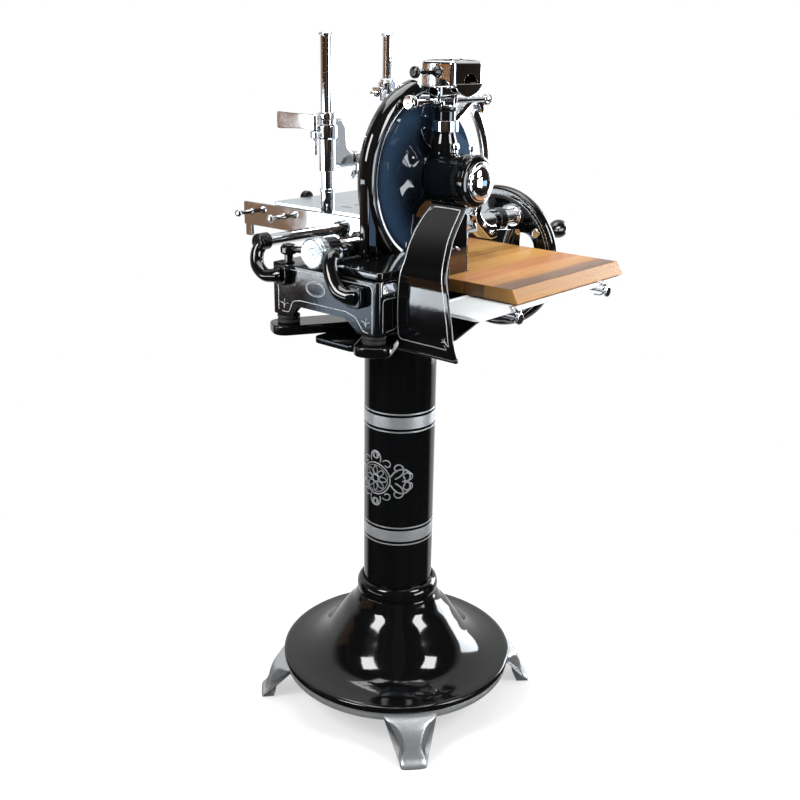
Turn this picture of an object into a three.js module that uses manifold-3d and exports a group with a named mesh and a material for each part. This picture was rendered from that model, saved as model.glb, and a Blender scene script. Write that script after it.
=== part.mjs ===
// Hand cranked meat slicer on a cast pedestal.
// Millimetres, +Z up. X is the direction in which the carriage travels and along which the flywheel
// shaft lies, Y points from the operator to the back. The blade stands square to Y.
// Every size is measured from the column's axis at floor level.
import * as THREE from 'three';
import { mergeVertices } from 'three/addons/utils/BufferGeometryUtils.js';
import Module from 'manifold-3d';

const wasm = await Module();
wasm.setup();

// Running clearance between neighbouring pieces
const gap = 0.3;

// Pedestal. The head and all above it are drawn for a column that ends at headSeat, and ride on its top
const columnRadius = 70;
const columnWall = 5;
const columnSeat = 236;
const columnTop = 784;
const headSeat = 784;
const bellRimRadius = 238;
const bellRimTop = 104;
const bellRimBottom = 89;
const bellCollarTop = 268;
const shelfDepth = 10;
const footCount = 4;
const footTurn = 3.4;
const footReach = 288;
const footToeWidth = 51;
const footWaistWidth = 35;
const footRootWidth = 110;
const footRingWidth = 30;
const footRingThick = 20;

// Column head that carries the machine
const armTop = 822;
const armThick = 18;
const armWidth = 66;
const crossBarLength = 372;
const crossBarWidth = 104;
const crossBarThick = 11;
const spigotDepth = 40;

// Base casting
const baseLeft = -205;
const baseRight = 205;
const baseFront = -126;
const baseBack = 136;
const baseTop = 933;
const baseWall = 9;
const stepWall = 3.5;
const stepX = 28;
const stepY = -73;
const innerStepX = 110;
const innerStepY = 8;
const padHeight = 16;
const padRadius = 21;
const padX = 190;
const padFrontY = -104;
const padBackY = 109;
const baseFoot = armTop + padHeight;
const archTop = 860;
const windowWidth = 78;
const windowHeight = 24;

// Guide tube and rear rail
const tubeRadius = 18;
const tubeY = 28;
const tubeZ = 962;
const tubeLeft = -186;
const tubeRight = 406;
const tubeCapRadius = 22;
const tubeCapWidth = 16;
const railRadius = 11;
const railY = 165;
const railZ = tubeZ + 3;
const railLeft = -203;
const railRight = 330;
const dialRadius = 28;
const dialWidth = 22;

// Carriage and meat table
const tableLeft = -90;
const tableRight = 196;
const slideBushLength = 50;
const slideBushWall = 4;
const slideBushX = [-90, 60];
const beamBottom = tubeZ + 26;
const beamTop = tubeZ + 37.7;
const endPlateThick = 6;
const endPlateFront = 11;
const endPlateBack = 335;
const endPlateBottom = tubeZ + 4;
const endPlateTop = tubeZ + 49;
const tableTop = tubeZ + 56;
const tableThick = 10;
const tableFront = 14;
const tableBack = 252;
const feedScrewRadius = 5.7;
const feedScrewZ = tubeZ + 20;
const feedScrewX = -44;
const feedNutY = 177;
const feedBearingY = 205;
const feedBlockWidth = 12;
const feedKnobRadius = 18;

// Meat posts and clamps. A clamp reaches this far below its middle, and is set at a share of what is left
const postY = 108;
const postX = [-88, 75];
const postTop = 1328;
const postRadius = [11, 10];
const postSeatDepth = 6;
const sleeveWall = 2;
const clampReach = [91, 24];
const clampShare = [0.2237, 0.6573];
const clampZ = clampReach.map((reach, i) => (
  tableTop + reach + clampShare[i] * (postTop - tableTop - reach)
));
const clampRadius = 19;

// Blade, guard and bracket
const bladeX = 62;
const bladeZ = 1077;
const bladeRadius = 143;
const bladeThick = 3;
const bladeBack = 5;
const bladeShaftRadius = 5;
const guardRadius = 178;
const guardInner = 150;
const guardFront = -21;
const guardBack = 5.2;
const dishRadius = 132;
const openFrom = -118;
const openTo = 104;
const ringInner = 163;
const ringOuter = 181;
const ringFrom = -30;
const ringTo = 41;
const ringFront = -14;
const ringThick = 8;
const housingRadius = 47;
const housingFront = -128;
const housingBack = -27;
const domeRadius = 36;
const domeHeight = 20;
const bracketFootTop = 947;
const crownCave = 22.5;
const caveFloor = bladeZ - 27;
const bracketColumnRadius = 15.5;

// Sharpener
const pillarX = 62;
const pillarY = -45;
const pillarRadius = 19;
const pillarTop = bladeZ + 127;
const tiltY = -40;
const tiltZ = pillarTop + 9;
const tiltPinRadius = 5;
const spindleLeft = -22;
const spindleRight = 181;
const coverLeft = 60;
const coverRight = 150;
const coverFront = -62;
const coverBack = 16;
const coverBottom = pillarTop + 36;
const coverTop = coverBottom + 44;
const coverWall = 3;
const stoneX = 98;
const stoneRise = 18;
const stoneRadius = 17;
const stoneWidth = 8;
const stonePinRadius = 3;
const stoneKnobRise = 22;

// Flywheel and drive
const flyNear = 418;
const flyWidth = 25;
const flyRadius = 157;
const flyRimDepth = 24;
const flyY = 90;
const flyZ = 862;
const flyHoleCount = 5;
const flyHoleRadius = 33;
const flyHoleCircle = 72;
const flyHoleTurn = 85;
const flyWebHalf = 4.5;
const flyHubRadius = 34;
const flyShaftRadius = 10;
const bearingRadius = 26;
const bearingLength = 202;
const crankY = -17;
const crankZ = 927;
const crankPinRadius = 6;
const gripRadius = 20;
const gripStart = 447;
const gripLength = 81;
const gripBoreDepth = 74;
const pinBossHalf = 10;
const driveModule = 2;
const driveTeeth = 32;
const crossTeeth = 16;
const mitreModule = 1.25;
const mitreTeeth = 16;
const crownModule = 1.5;
const crownTeeth = 24;
const pinionTeeth = 12;
const faceShare = 0.3;
const lineShaftY = -57;
const lineShaftRadius = 6;

// Deflector, board and tray
const deflectorThick = 7;
const deflectorInner = -128;
const deflectorOuterTop = -198;
const deflectorOuterBottom = -242;
const boardLeft = 32;
const boardRight = 398;
const boardBack = 4;
const boardNotchX = 113.5;
const boardNotchY = -74.5;
const boardFront = -246;
const boardTop = 900;
const boardThick = 25;
const boardBevel = 15;
const trayTop = 874.6;
const trayThick = 8;
const trayLeft = -93;
const trayRight = 392;
const trayFront = -254;
const trayBack = -4;
const clampX = [6, 302];
const clampScrewZ = 859.3;
const clampScrewRadius = 3;
const trayRailWidth = 12;
const trayRailBack = trayFront + 34;
const catchPlateRight = 392;
const catchPlateY = 4.4;
const catchPlateTop = 951;
const catchPlateBottom = 876;
const catchPlateThick = 3.4;

const steel = (color, roughness) => new THREE.MeshStandardMaterial({ color, roughness, metalness: 1 });
const paint = (color, roughness) => new THREE.MeshStandardMaterial({ color, roughness, metalness: 0 });
const finish = {
  enamel: paint(0x0b0c0f, 0.12),
  silverPaint: paint(0xa4a8aa, 0.4),
  chrome: steel(0xd8dadc, 0.08),
  brushed: steel(0xb9bcc0, 0.3),
  darkSteel: steel(0x6d6f72, 0.4),
  wood: paint(0xc8813a, 0.5),
  tray: paint(0xf2f2f0, 0.35),
  plastic: paint(0x101012, 0.35),
  stone: paint(0x8d8a84, 0.9),
};

// Numbers of sides of round pieces, by size
const wide = 28;
const broad = 24;
const middling = 18;
const medium = 14;
const slim = 10;
const thin = 8;

const deg = Math.PI / 180;
const slicer = new THREE.Group();
const machine = new THREE.Group();

// Turns a closed geometry into a solid that can be cut and joined
function solid(geometry) {
  const loose = geometry.clone();
  loose.deleteAttribute('normal');
  loose.deleteAttribute('uv');
  const bare = mergeVertices(loose, 1e-4);
  const vertProperties = new Float32Array(bare.attributes.position.array);
  const corners = Array.from(bare.index.array);
  const faces = [];
  for (let i = 0; i < corners.length; i += 3) {
    const [a, b, c] = corners.slice(i, i + 3);
    if (a !== b && b !== c && c !== a) faces.push(a, b, c);
  }
  const triVerts = new Uint32Array(faces);
  return new wasm.Manifold(new wasm.Mesh({ numProp: 3, vertProperties, triVerts }));
}

// Gives a solid back as a geometry
function shapeOf(body) {
  const mesh = body.getMesh();
  const geometry = new THREE.BufferGeometry();
  geometry.setAttribute('position', new THREE.BufferAttribute(new Float32Array(mesh.vertProperties), 3));
  geometry.setIndex(new THREE.BufferAttribute(new Uint32Array(mesh.triVerts), 1));
  geometry.computeVertexNormals();
  return geometry;
}

const join = (...parts) => shapeOf(parts.map(solid).reduce((a, b) => a.add(b)));
const cut = (body, ...tools) => shapeOf(tools.map(solid).reduce((a, b) => a.subtract(b), solid(body)));

// A box between two corners
function block(x0, x1, y0, y1, z0, z1) {
  const geometry = new THREE.BoxGeometry(x1 - x0, y1 - y0, z1 - z0);
  return geometry.translate((x0 + x1) / 2, (y0 + y1) / 2, (z0 + z1) / 2);
}

// A bar of round section between two points on a line along one axis
function rod(axis, a, b, u, v, radius, sides = slim, radiusEnd = radius) {
  const geometry = new THREE.CylinderGeometry(radiusEnd, radius, b - a, sides);
  const middle = (a + b) / 2;
  if (axis === 'x') return geometry.rotateZ(-Math.PI / 2).translate(middle, u, v);
  if (axis === 'y') return geometry.translate(u, middle, v);
  return geometry.rotateX(Math.PI / 2).translate(u, v, middle);
}

// The tool for a round hole: its flats, not its corners, lie at the radius
function bore(axis, a, b, u, v, radius, sides = slim) {
  return rod(axis, a, b, u, v, radius / Math.cos(Math.PI / sides), sides);
}

// A profile of [radius, height] pairs turned about Z
function turned(profile, sides = broad) {
  const ring = profile[0][0] > 0 ? [...profile, profile[0]] : profile;
  const points = ring.map(([r, z]) => new THREE.Vector2(r, z));
  if (THREE.ShapeUtils.area(points) < 0) points.reverse();
  return new THREE.LatheGeometry(points, sides).rotateX(Math.PI / 2);
}

// Lays a shape made along +Z so that it points along +X or +Y
const alongX = (geometry) => geometry.rotateY(Math.PI / 2);
const alongY = (geometry) => geometry.rotateX(-Math.PI / 2);

// A closed outline of [x, y] points pushed up along +Z
function slab(outline, height, holes = []) {
  const shape = new THREE.Shape(outline.map(([x, y]) => new THREE.Vector2(x, y)));
  for (const hole of holes) shape.holes.push(hole);
  return new THREE.ExtrudeGeometry(shape, { depth: height, bevelEnabled: false });
}

// An outline drawn in X and Z and pushed along Y from y0 to y1
function sideSlab(outline, y0, y1, holes = []) {
  return slab(outline, y1 - y0, holes).rotateX(Math.PI / 2).translate(0, y1, 0);
}

// An outline drawn in Y and Z and pushed along X from x0 to x1
function endSlab(outline, x0, x1, holes = []) {
  const geometry = slab(outline, x1 - x0, holes);
  const turn = new THREE.Matrix4().set(0, 0, 1, x0, 1, 0, 0, 0, 0, 1, 0, 0, 0, 0, 0, 1);
  return geometry.applyMatrix4(turn);
}

// Points of an arc about (cx, cy), angles in degrees
function arc(cx, cy, radius, from, to, steps) {
  return Array.from({ length: steps + 1 }, (_, i) => {
    const angle = (from + ((to - from) * i) / steps) * deg;
    return [cx + radius * Math.cos(angle), cy + radius * Math.sin(angle)];
  });
}

// A rounded rectangle outline
function roundRect(x0, x1, y0, y1, r, steps = 4) {
  return [
    ...arc(x1 - r, y1 - r, r, 0, 90, steps),
    ...arc(x0 + r, y1 - r, r, 90, 180, steps),
    ...arc(x0 + r, y0 + r, r, 180, 270, steps),
    ...arc(x1 - r, y0 + r, r, 270, 360, steps),
  ];
}

// Smooth points through a few [a, b] pairs
function flowing(points, steps) {
  const curve = new THREE.SplineCurve(points.map(([a, b]) => new THREE.Vector2(a, b)));
  return curve.getPoints(steps).map((p) => [p.x, p.y]);
}

// A round or oval bar swept along a smooth path
function sweep(points, radius, sides = 10, steps = 20, flat = 1) {
  const path = new THREE.CatmullRomCurve3(points.map((p) => new THREE.Vector3(...p)));
  const section = new THREE.Shape();
  section.absellipse(0, 0, radius, radius * flat, 0, Math.PI * 2);
  return new THREE.ExtrudeGeometry(section, { steps, curveSegments: sides, extrudePath: path });
}

// A straight bevel gear whose pitch cone has its tip at the origin and opens along +Z.
// Each tooth narrows towards the tip, so mates of the same pair share one cone length.
function bevelGear(teeth, mateTeeth, toothModule, shift) {
  const pitch = (teeth * toothModule) / 2;
  const reach = (mateTeeth * toothModule) / 2;
  const cone = Math.hypot(pitch, reach);
  const half = Math.atan2(pitch, reach);
  const tip = reach * Math.tan(half + Math.atan(toothModule * 0.8 / cone));
  const root = reach * Math.tan(half - Math.atan(toothModule * 1.15 / cone));
  const step = (2 * Math.PI) / teeth;
  const outline = [];
  for (let i = 0; i < teeth; i += 1) {
    const middle = (i + shift) * step;
    for (const [radius, part] of [[root, -0.27], [tip, -0.12], [tip, 0.12], [root, 0.27]]) {
      const angle = middle + part * step;
      outline.push([radius * Math.cos(angle), radius * Math.sin(angle)]);
    }
  }
  const inner = 1 - faceShare;
  const geometry = slab(outline, 1);
  const position = geometry.attributes.position;
  for (let i = 0; i < position.count; i += 1) {
    const scale = position.getZ(i) > 0.5 ? 1 : inner;
    position.setXYZ(i, position.getX(i) * scale, position.getY(i) * scale, reach * scale);
  }
  return { geometry, back: reach, front: reach * inner };
}

// Sets a gear with its cone tip at a point, its axis along one direction and a tooth towards its mate
function seatGear(geometry, tip, axis, towards) {
  const z = new THREE.Vector3(...axis);
  const x = new THREE.Vector3(...towards);
  const y = new THREE.Vector3().crossVectors(z, x);
  const matrix = new THREE.Matrix4().makeBasis(x, y, z).setPosition(...tip);
  return geometry.applyMatrix4(matrix);
}

// Pedestal
function pedestalBell() {
  const hole = columnRadius + gap;
  const rim = [
    [bellRimRadius - 10, bellRimBottom],
    [bellRimRadius - 2, bellRimBottom],
    [bellRimRadius, bellRimBottom + 6],
    [bellRimRadius - 1.5, bellRimTop - 3],
  ];
  const flare = flowing([
    [bellRimRadius - 6, bellRimTop], [205, 108], [176, 118], [150, 138], [128, 168], [108, 197],
    [92, 215], [84, 231], [81, 239],
  ], thin);
  const collar = flowing([[83, 247], [82.5, 256], [79, 264], [74, bellCollarTop]], 3);
  const socket = [
    [hole, bellCollarTop],
    [hole, columnSeat],
    [columnRadius - shelfDepth, columnSeat],
    [columnRadius - shelfDepth, columnSeat - 8],
  ];
  const inside = flowing([
    [72, 226], [86, 206], [100, 190], [121, 158], [143, 130], [170, 109], [202, 99],
    [bellRimRadius - 12, 96.5],
  ], 6);
  return turned([...rim, ...flare, ...collar, ...socket, ...inside], broad);
}

function column() {
  const inner = columnRadius - columnWall;
  const foot = columnSeat + gap;
  return turned([[inner, foot], [columnRadius, foot], [columnRadius, columnTop], [inner, columnTop]], broad);
}

// Width of a foot at a given way along its bend, from the ring down to the toe
const footWidths = [
  [0, footRootWidth], [30, footRootWidth * 0.9], [50, 66], [70, 48], [90, 38],
  [112, footWaistWidth], [125, 41], [136, 49], [162, footToeWidth],
];

function footWidth(way) {
  const next = footWidths.findIndex(([at]) => at > way);
  if (next <= 0) return next === 0 ? footRootWidth : footToeWidth;
  const [at0, width0] = footWidths[next - 1];
  const [at1, width1] = footWidths[next];
  return width0 + ((way - at0) / (at1 - at0)) * (width1 - width0);
}

// One cabriole foot, thin at the shin and broad at the root and toe
function foot(turn) {
  const rootRadius = 214;
  const rootTop = bellRimBottom - gap;
  const back = flowing([
    [rootRadius, rootTop], [236, 82], [251, 74], [262, 62], [269, 46], [273, 30], [278, 17],
    [286, 9], [footReach, 4],
  ], thin);
  const front = flowing([[262, 0], [258, 10], [255, 30], [250, 47], [239, 57], [rootRadius, 64]], 8);
  const geometry = sideSlab([...back, [footReach, 0], ...front], -0.5, 0.5);
  const position = geometry.attributes.position;
  for (let i = 0; i < position.count; i += 1) {
    const way = position.getX(i) - rootRadius + rootTop - position.getZ(i);
    position.setY(i, position.getY(i) * footWidth(way));
  }
  return geometry.rotateZ(turn * deg);
}

function footRing() {
  const top = bellRimBottom - gap;
  const outer = bellRimRadius - 3;
  const ring = turned([
    [outer - footRingWidth, top - footRingThick], [outer - 7, top - footRingThick],
    [outer - 2, top - footRingThick + 4], [outer, top - footRingThick + 12], [outer - 1, top],
    [outer - footRingWidth, top],
  ], broad);
  const feet = Array.from({ length: footCount }, (_, i) => foot(45 + footTurn + (i * 360) / footCount));
  return join(ring, ...feet);
}

// A bar with round ends between two points
function stadium(x0, y0, x1, y1, width) {
  const along = Math.atan2(y1 - y0, x1 - x0) / deg;
  return [
    ...arc(x1, y1, width / 2, along - 90, along + 90, 8),
    ...arc(x0, y0, width / 2, along + 90, along + 270, 8),
  ];
}

function columnHead() {
  const armBottom = armTop - armThick;
  const arm = (from, to) => (
    slab(stadium(-padX, from, padX, to, armWidth), armThick).translate(0, 0, armBottom)
  );
  const half = crossBarLength / 2;
  const side = crossBarWidth / 2;
  const bar = slab(roundRect(-half, half, -side, side, 14), crossBarThick + 1);
  const flange = rod('z', headSeat + gap, armBottom + 1, 0, 0, columnRadius + 12, middling);
  const spigot = rod('z', headSeat - spigotDepth, headSeat + 1, 0, 0, columnRadius - columnWall - 1, broad);
  return join(
    arm(padFrontY, padBackY), arm(padBackY, padFrontY),
    bar.translate(0, 0, armBottom - crossBarThick), flange, spigot,
  );
}

// Outline of the base, a box whose right front corner leaves room for the board
function steppedOutline(inset, stepInset) {
  const left = baseLeft + inset;
  const back = baseBack - inset;
  const front = baseFront + inset;
  const round = 12 - inset / 2;
  return [
    ...arc(left + round, back - round, round, 90, 180, 4),
    ...arc(left + round, front + round, round, 180, 270, 4),
    [stepX - inset, front],
    [stepX - inset, stepY + stepInset],
    [innerStepX - stepInset, stepY + stepInset],
    [innerStepX - stepInset, innerStepY + inset],
    [baseRight - inset, innerStepY + inset],
    [baseRight - inset, back],
  ];
}

function baseCasting() {
  const shell = slab(steppedOutline(0, 0), baseTop - baseFoot).translate(0, 0, baseFoot);
  const roof = baseTop - baseWall;
  const inside = slab(steppedOutline(baseWall, stepWall), roof - baseFoot + 1).translate(0, 0, baseFoot - 1);
  const low = baseFoot - 1;
  const endArch = endSlab([
    [-78, low], [82, low], [81, 848], [74, 857], [64, archTop], [-50, archTop], [-64, 854], [-74, 845],
  ], baseLeft - 1, baseLeft + baseWall + 1);
  const backArch = sideSlab([
    [-150, low], [150, low], [146, 850], [134, archTop], [-134, archTop], [-146, 850],
  ], baseBack - baseWall - 1, baseBack + 1);
  const frontArch = sideSlab([
    [-150, low], [-20, low], [-24, 852], [-34, archTop], [-134, archTop], [-146, 850],
  ], baseFront - 1, baseFront + baseWall + 1);
  const windowLeft = baseLeft + 10;
  const window = block(
    windowLeft, windowLeft + windowWidth, baseFront - 1, baseFront + baseWall + 1,
    baseTop - windowHeight, baseTop + 1,
  );
  const crossHole = rod('z', roof - 1, baseTop + 1, bladeX, lineShaftY, thin);
  const endHole = bore('x', baseRight - baseWall - 1, baseRight + 1, flyY, flyZ, flyShaftRadius + gap);
  const box = cut(shell, inside, endArch, backArch, frontArch, window, crossHole, endHole);
  const hanger = (x0, x1, y0, y1) => block(x0, x1, y0, y1, flyZ - 16, roof + 1);
  const posts = [
    hanger(116, 128, 70, baseBack - baseWall + 1),
    hanger(48, 76, 18, 28),
    hanger(48, 76, -34, -24),
  ];
  const webbed = join(box, ...posts);
  const flyBore = bore('x', 110, 134, flyY, flyZ, flyShaftRadius + gap);
  const crossBore = bore('y', -40, 40, bladeX, flyZ, lineShaftRadius + gap);
  return cut(webbed, flyBore, crossBore);
}

function pad() {
  const height = padHeight - 2 * gap;
  return turned([
    [0, 0], [padRadius - 2, 0], [padRadius, 2], [padRadius, height - 4], [padRadius - 4, height], [0, height],
  ], slim);
}

// Guide tube with its end cap, and the rear rail
function guideTube() {
  const cap = turned([
    [0, 0], [tubeCapRadius - 2, 0], [tubeCapRadius, 2], [tubeCapRadius, tubeCapWidth - 2],
    [tubeCapRadius - 2, tubeCapWidth], [0, tubeCapWidth],
  ], medium);
  const ring = alongX(cap).translate(tubeRight - tubeCapWidth, tubeY, tubeZ);
  return join(rod('x', tubeLeft, tubeRight - 2, tubeY, tubeZ, tubeRadius, medium), ring);
}

function sliceDial() {
  const face = turned([
    [0, 0], [dialRadius - 3, 0], [dialRadius - 1, 2], [dialRadius - 1, 5], [dialRadius, 6],
    [dialRadius, dialWidth - 1], [dialRadius - 1, dialWidth], [0, dialWidth],
  ], middling);
  const body = alongX(face).translate(tubeLeft - gap - dialWidth, tubeY, tubeZ);
  const slotDepth = 1;
  const x = tubeLeft - gap - dialWidth;
  const slot = block(x - 1, x + slotDepth, tubeY - 0.8, tubeY + 0.8, tubeZ - 5, tubeZ + 5);
  return cut(body, slot);
}

// Curved arms that carry the left ends of the tube and the rail
function tubeArm() {
  const path = [
    [-221, -80, 903], [-226, -52, 910], [-222, -30, tubeZ - 26], [-206, -17, tubeZ - 2],
    [-187, -15, tubeZ + 1], [-166, 4, tubeZ],
  ];
  const arm = sweep(path, 12, 4, 16, 1.1);
  const flange = block(baseLeft - 16, baseLeft - gap, -98, -64, 886, 922);
  const collar = rod('x', -182, -152, tubeY, tubeZ, tubeRadius + 6, medium);
  const hole = bore('x', -190, -140, tubeY, tubeZ, tubeRadius + gap, medium);
  return cut(join(arm, flange, collar), hole);
}

function railArm() {
  const path = [
    [-218, 98, 914], [-222, 132, 912], [-219, 158, railZ - 39], [-209, 167, railZ - 19],
    [-200, railY, railZ - 3],
  ];
  const arm = sweep(path, 11, 4, 14, 1.1);
  const flange = block(baseLeft - 14, baseLeft - gap, 86, 118, 898, 930);
  const collar = rod('x', -213, -188, railY, railZ, railRadius + 4.5, slim);
  const hole = bore('x', railLeft - 0.3, -180, railY, railZ, railRadius + gap, slim);
  return cut(join(arm, flange, collar), hole);
}

function rightArm() {
  const x0 = 320;
  const x1 = 344;
  const beam = block(x0, x1, 18, 176, 905, 928);
  const tubePost = block(x0, x1, 18, 38, 920, tubeZ);
  const railPost = block(x0, x1, 154, 176, 920, railZ);
  const tubeCollar = rod('x', x0, x1, tubeY, tubeZ, tubeRadius + 6, medium);
  const railCollar = rod('x', x0, x1, railY, railZ, railRadius + 5, slim);
  const strut = endSlab(roundRect(44, 78, 896, 924, 6), baseRight + gap, x0 + 2);
  const tubeBore = bore('x', x0 - 5, x1 + 5, tubeY, tubeZ, tubeRadius + gap, medium);
  const railBore = bore('x', x0 - 5, x1 + 5, railY, railZ, railRadius + gap, slim);
  return cut(join(beam, tubePost, railPost, tubeCollar, railCollar, strut), tubeBore, railBore);
}

function railStay() {
  const z = tubeZ - 5;
  const pin = rod('z', baseTop + gap, z - 5, -188, 108, 8);
  const head = turned([[0, 0], [13, 0], [15, 3], [15, 12], [11, 17], [0, 18]], slim);
  const bar = sweep([[-188, 108, z], [-181, 84, z + 1], [-173, 66, z + 1], [-170, 54.5, z + 2]], 6, 3, 8);
  return join(pin, head.translate(-188, 108, z - 8), bar);
}

// Carriage: two bushes on the tube, a beam over them, cross beams to a saddle on the rear rail
function carriageFrame() {
  const pieces = [];
  const bushRadius = tubeRadius + gap + slideBushWall;
  for (const x of slideBushX) {
    pieces.push(rod('x', x, x + slideBushLength, tubeY, tubeZ, bushRadius, medium));
    pieces.push(block(x, x + slideBushLength, tubeY - 9, tubeY + 9, tubeZ + 15, beamBottom + 1));
    pieces.push(block(x, x + 34, tubeY + 6, railY + 15, beamBottom, beamTop));
    pieces.push(block(x, x + 34, railY - 12, railY + 12, railZ + railRadius - 4, beamBottom + 1));
  }
  const beamEnd = slideBushX[1] + slideBushLength + 76;
  pieces.push(block(slideBushX[0], beamEnd, tubeY - 10, tubeY + 12, beamBottom, beamTop));
  const rearEnd = slideBushX[1] + slideBushLength;
  pieces.push(block(slideBushX[0], rearEnd, railY - 8, railY + 15, beamBottom, beamTop));
  const nutX = [feedScrewX - 10, feedScrewX + 10];
  pieces.push(block(...nutX, feedNutY - 5, feedNutY + feedBlockWidth, beamBottom, beamTop - 3));
  pieces.push(block(...nutX, feedNutY, feedNutY + feedBlockWidth, feedScrewZ - 9, beamBottom + 1));
  const frame = join(...pieces);
  const screwBore = bore('y', 150, 250, feedScrewX, feedScrewZ, feedScrewRadius + gap, thin);
  const tubeBore = bore('x', -120, 220, tubeY, tubeZ, tubeRadius + gap, medium);
  const railBore = bore('x', -120, 220, railY, railZ, railRadius + gap, slim);
  return cut(frame, tubeBore, railBore, screwBore);
}

function carriageEndPlate() {
  const x1 = slideBushX[0] - gap;
  const x0 = x1 - endPlateThick;
  const plate = block(x0, x1, endPlateFront, endPlateBack, endPlateBottom, endPlateTop);
  const studs = [endPlateBack - 20, endPlateBack - 112].map((y) => {
    const stud = turned([[0, 0], [4, 0], [4, 28], [6.5, 29], [7.5, 33], [5, 37], [0, 38]], thin);
    return stud.rotateY(-Math.PI / 2).translate(x0 + 1, y, beamBottom + 4);
  });
  const leg = block(x0, x1, endPlateBack - 22, endPlateBack - 4, endPlateBottom - 22, endPlateBottom + 1);
  const tubeHole = bore('x', x0 - 9, x1 + 9, tubeY, tubeZ, tubeRadius + 1, medium);
  const railHole = bore('x', x0 - 9, x1 + 9, railY, railZ, railRadius + 1, slim);
  return cut(join(plate, leg, ...studs), tubeHole, railHole);
}

function meatTable() {
  const bottom = tableTop - tableThick;
  const outline = roundRect(tableLeft, tableRight, tableFront, tableBack, 4, 2);
  const top = slab(outline, tableThick).translate(0, 0, bottom);
  const slots = [0, 1].map((i) => {
    const x = -41 + i * 33;
    return slab(stadium(x, 119 - i * 5, x - 1, 95, 5), tableThick + 2).translate(0, 0, bottom - 1);
  });
  const slides = [[tableRight - 66, tableRight - 30], [tableLeft + 4, tableLeft + 30]].map(([x0, x1]) => (
    block(x0, x1, tableFront + 8, tableBack - 10, beamTop + gap, bottom + 1)
  ));
  const postSeats = postX.map((x, i) => (
    bore('z', tableTop - postSeatDepth - gap, tableTop + 1, x, postY, postRadius[i] + sleeveWall + gap)
  ));
  const knobStem = rod('y', tableBack - 2, tableBack + 14, 14, tableTop - 4, 4, thin);
  const knob = rod('y', tableBack + 10, tableBack + 26, 14, tableTop - 4, 13, slim);
  const bearing = block(
    feedScrewX - 10, feedScrewX + 10, feedBearingY, feedBearingY + feedBlockWidth, feedScrewZ - 9, bottom + 1,
  );
  const screwBore = bore('y', 150, 250, feedScrewX, feedScrewZ, feedScrewRadius + gap, thin);
  return cut(join(top, ...slides, knobStem, knob, bearing), screwBore, ...slots, ...postSeats);
}

function feedScrew() {
  const z = feedScrewZ;
  const screw = rod('y', tubeY + 22, 290, feedScrewX, z, feedScrewRadius, thin);
  const collar = rod('y', feedBearingY - 5 - gap, feedBearingY - gap, feedScrewX, z, 9, slim);
  const rim = turned([
    [0, 0], [15, 0], [feedKnobRadius, 3], [feedKnobRadius, 9], [15, 12], [0, 12],
  ], slim);
  return join(screw, collar, alongY(rim).translate(feedScrewX, 284, z));
}

// A post whose sleeve stands in a blind seat in the table
function meatPost(radius, x) {
  const sleeve = radius + sleeveWall;
  const height = postTop - tableTop;
  const profile = [
    [0, -postSeatDepth], [sleeve, -postSeatDepth], [sleeve, 33], [sleeve + 1.2, 34], [sleeve + 1.2, 37],
    [radius, 38], [radius, height - 5], [radius + 3, height - 4], [radius + 3, height - 2], [radius, height],
    [0, height],
  ];
  return turned(profile, slim).translate(x, postY, tableTop);
}

function leftClamp() {
  const x = postX[0];
  const z = clampZ[0];
  const sleeve = rod('z', z - 70, z + 34, x, postY, postRadius[0] + 4, slim);
  const collar = turned([[0, -13], [17, -13], [clampRadius, -9], [clampRadius, 9], [17, 13], [0, 13]], slim);
  const crown = turned([[0, 0], [16, 0], [16, 8], [14, 10], [0, 10]], slim).translate(x, postY, z + 24);
  const lug = block(x - 33, x - 10, postY - 4, postY + 12, z - 10, z + 1);
  const arm = sideSlab([
    [x + 8, z + 22], [x + 34, z + 22], [x + 45, z + 8], [x + 48, z - 28], [x + 58, z - 38],
    [x + 78, z - 41], [x + 80, z - 64], [x + 8, z - 68],
  ], postY - 8, postY + 8);
  const boss = rod('y', postY - 13, postY + 13, x + 76, z - 52, 13, slim);
  const body = join(sleeve, collar.translate(x, postY, z), crown, lug, arm, boss);
  const hole = bore('z', z - 80, z + 50, x, postY, postRadius[0] + gap, slim);
  const pinHole = bore('z', z - 20, z + 10, x - 26, postY + 4, 3.8, thin);
  return cut(body, hole, pinHole);
}

// The lever's flat blade is waisted near its hub
function clampLever() {
  const x = postX[0] - 26;
  const y = postY + 4;
  const z = clampZ[0];
  const pin = rod('z', z - 40, z + 4, x, y, 3.5, thin);
  const hub = rod('z', z + 1 + gap, z + 32, x, y, 6, slim);
  const flat = endSlab([
    [y, z + 6], [y + 18, z + 4], [y + 30, z + 6], [y + 96, z + 5], [y + 98, z + 8], [y + 96, z + 32],
    [y + 26, z + 31], [y, z + 28],
  ], x - 2.5, x + 2.5);
  return join(pin, hub, flat);
}

function wingScrew() {
  const x = postX[0] + 76;
  const z = clampZ[0] - 65 - gap;
  const shank = rod('z', z - 12, z, x, postY, 4.5, thin);
  const wings = sideSlab([
    [x - 12, z - 22], [x - 5, z - 25], [x, z - 18], [x + 5, z - 25], [x + 12, z - 22], [x + 8, z - 9],
    [x - 8, z - 9],
  ], postY - 2.5, postY + 2.5);
  return join(shank, wings);
}

function rightClamp() {
  const x = postX[1];
  const z = clampZ[1];
  const collar = rod('z', z - 12, z + 12, x, postY, clampRadius - 1, slim);
  const crown = rod('z', z + 10, z + 17, x, postY, 14.5, slim);
  const lug = block(x - 32, x - 10, postY - 12, postY + 12, z - 22, z + 2);
  const screw = rod('x', x - 44, x - 30, postY, z - 10, 6, thin);
  const hole = bore('z', z - 30, z + 30, x, postY, postRadius[1] + gap, slim);
  return cut(join(collar, crown, lug, screw), hole);
}

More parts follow.
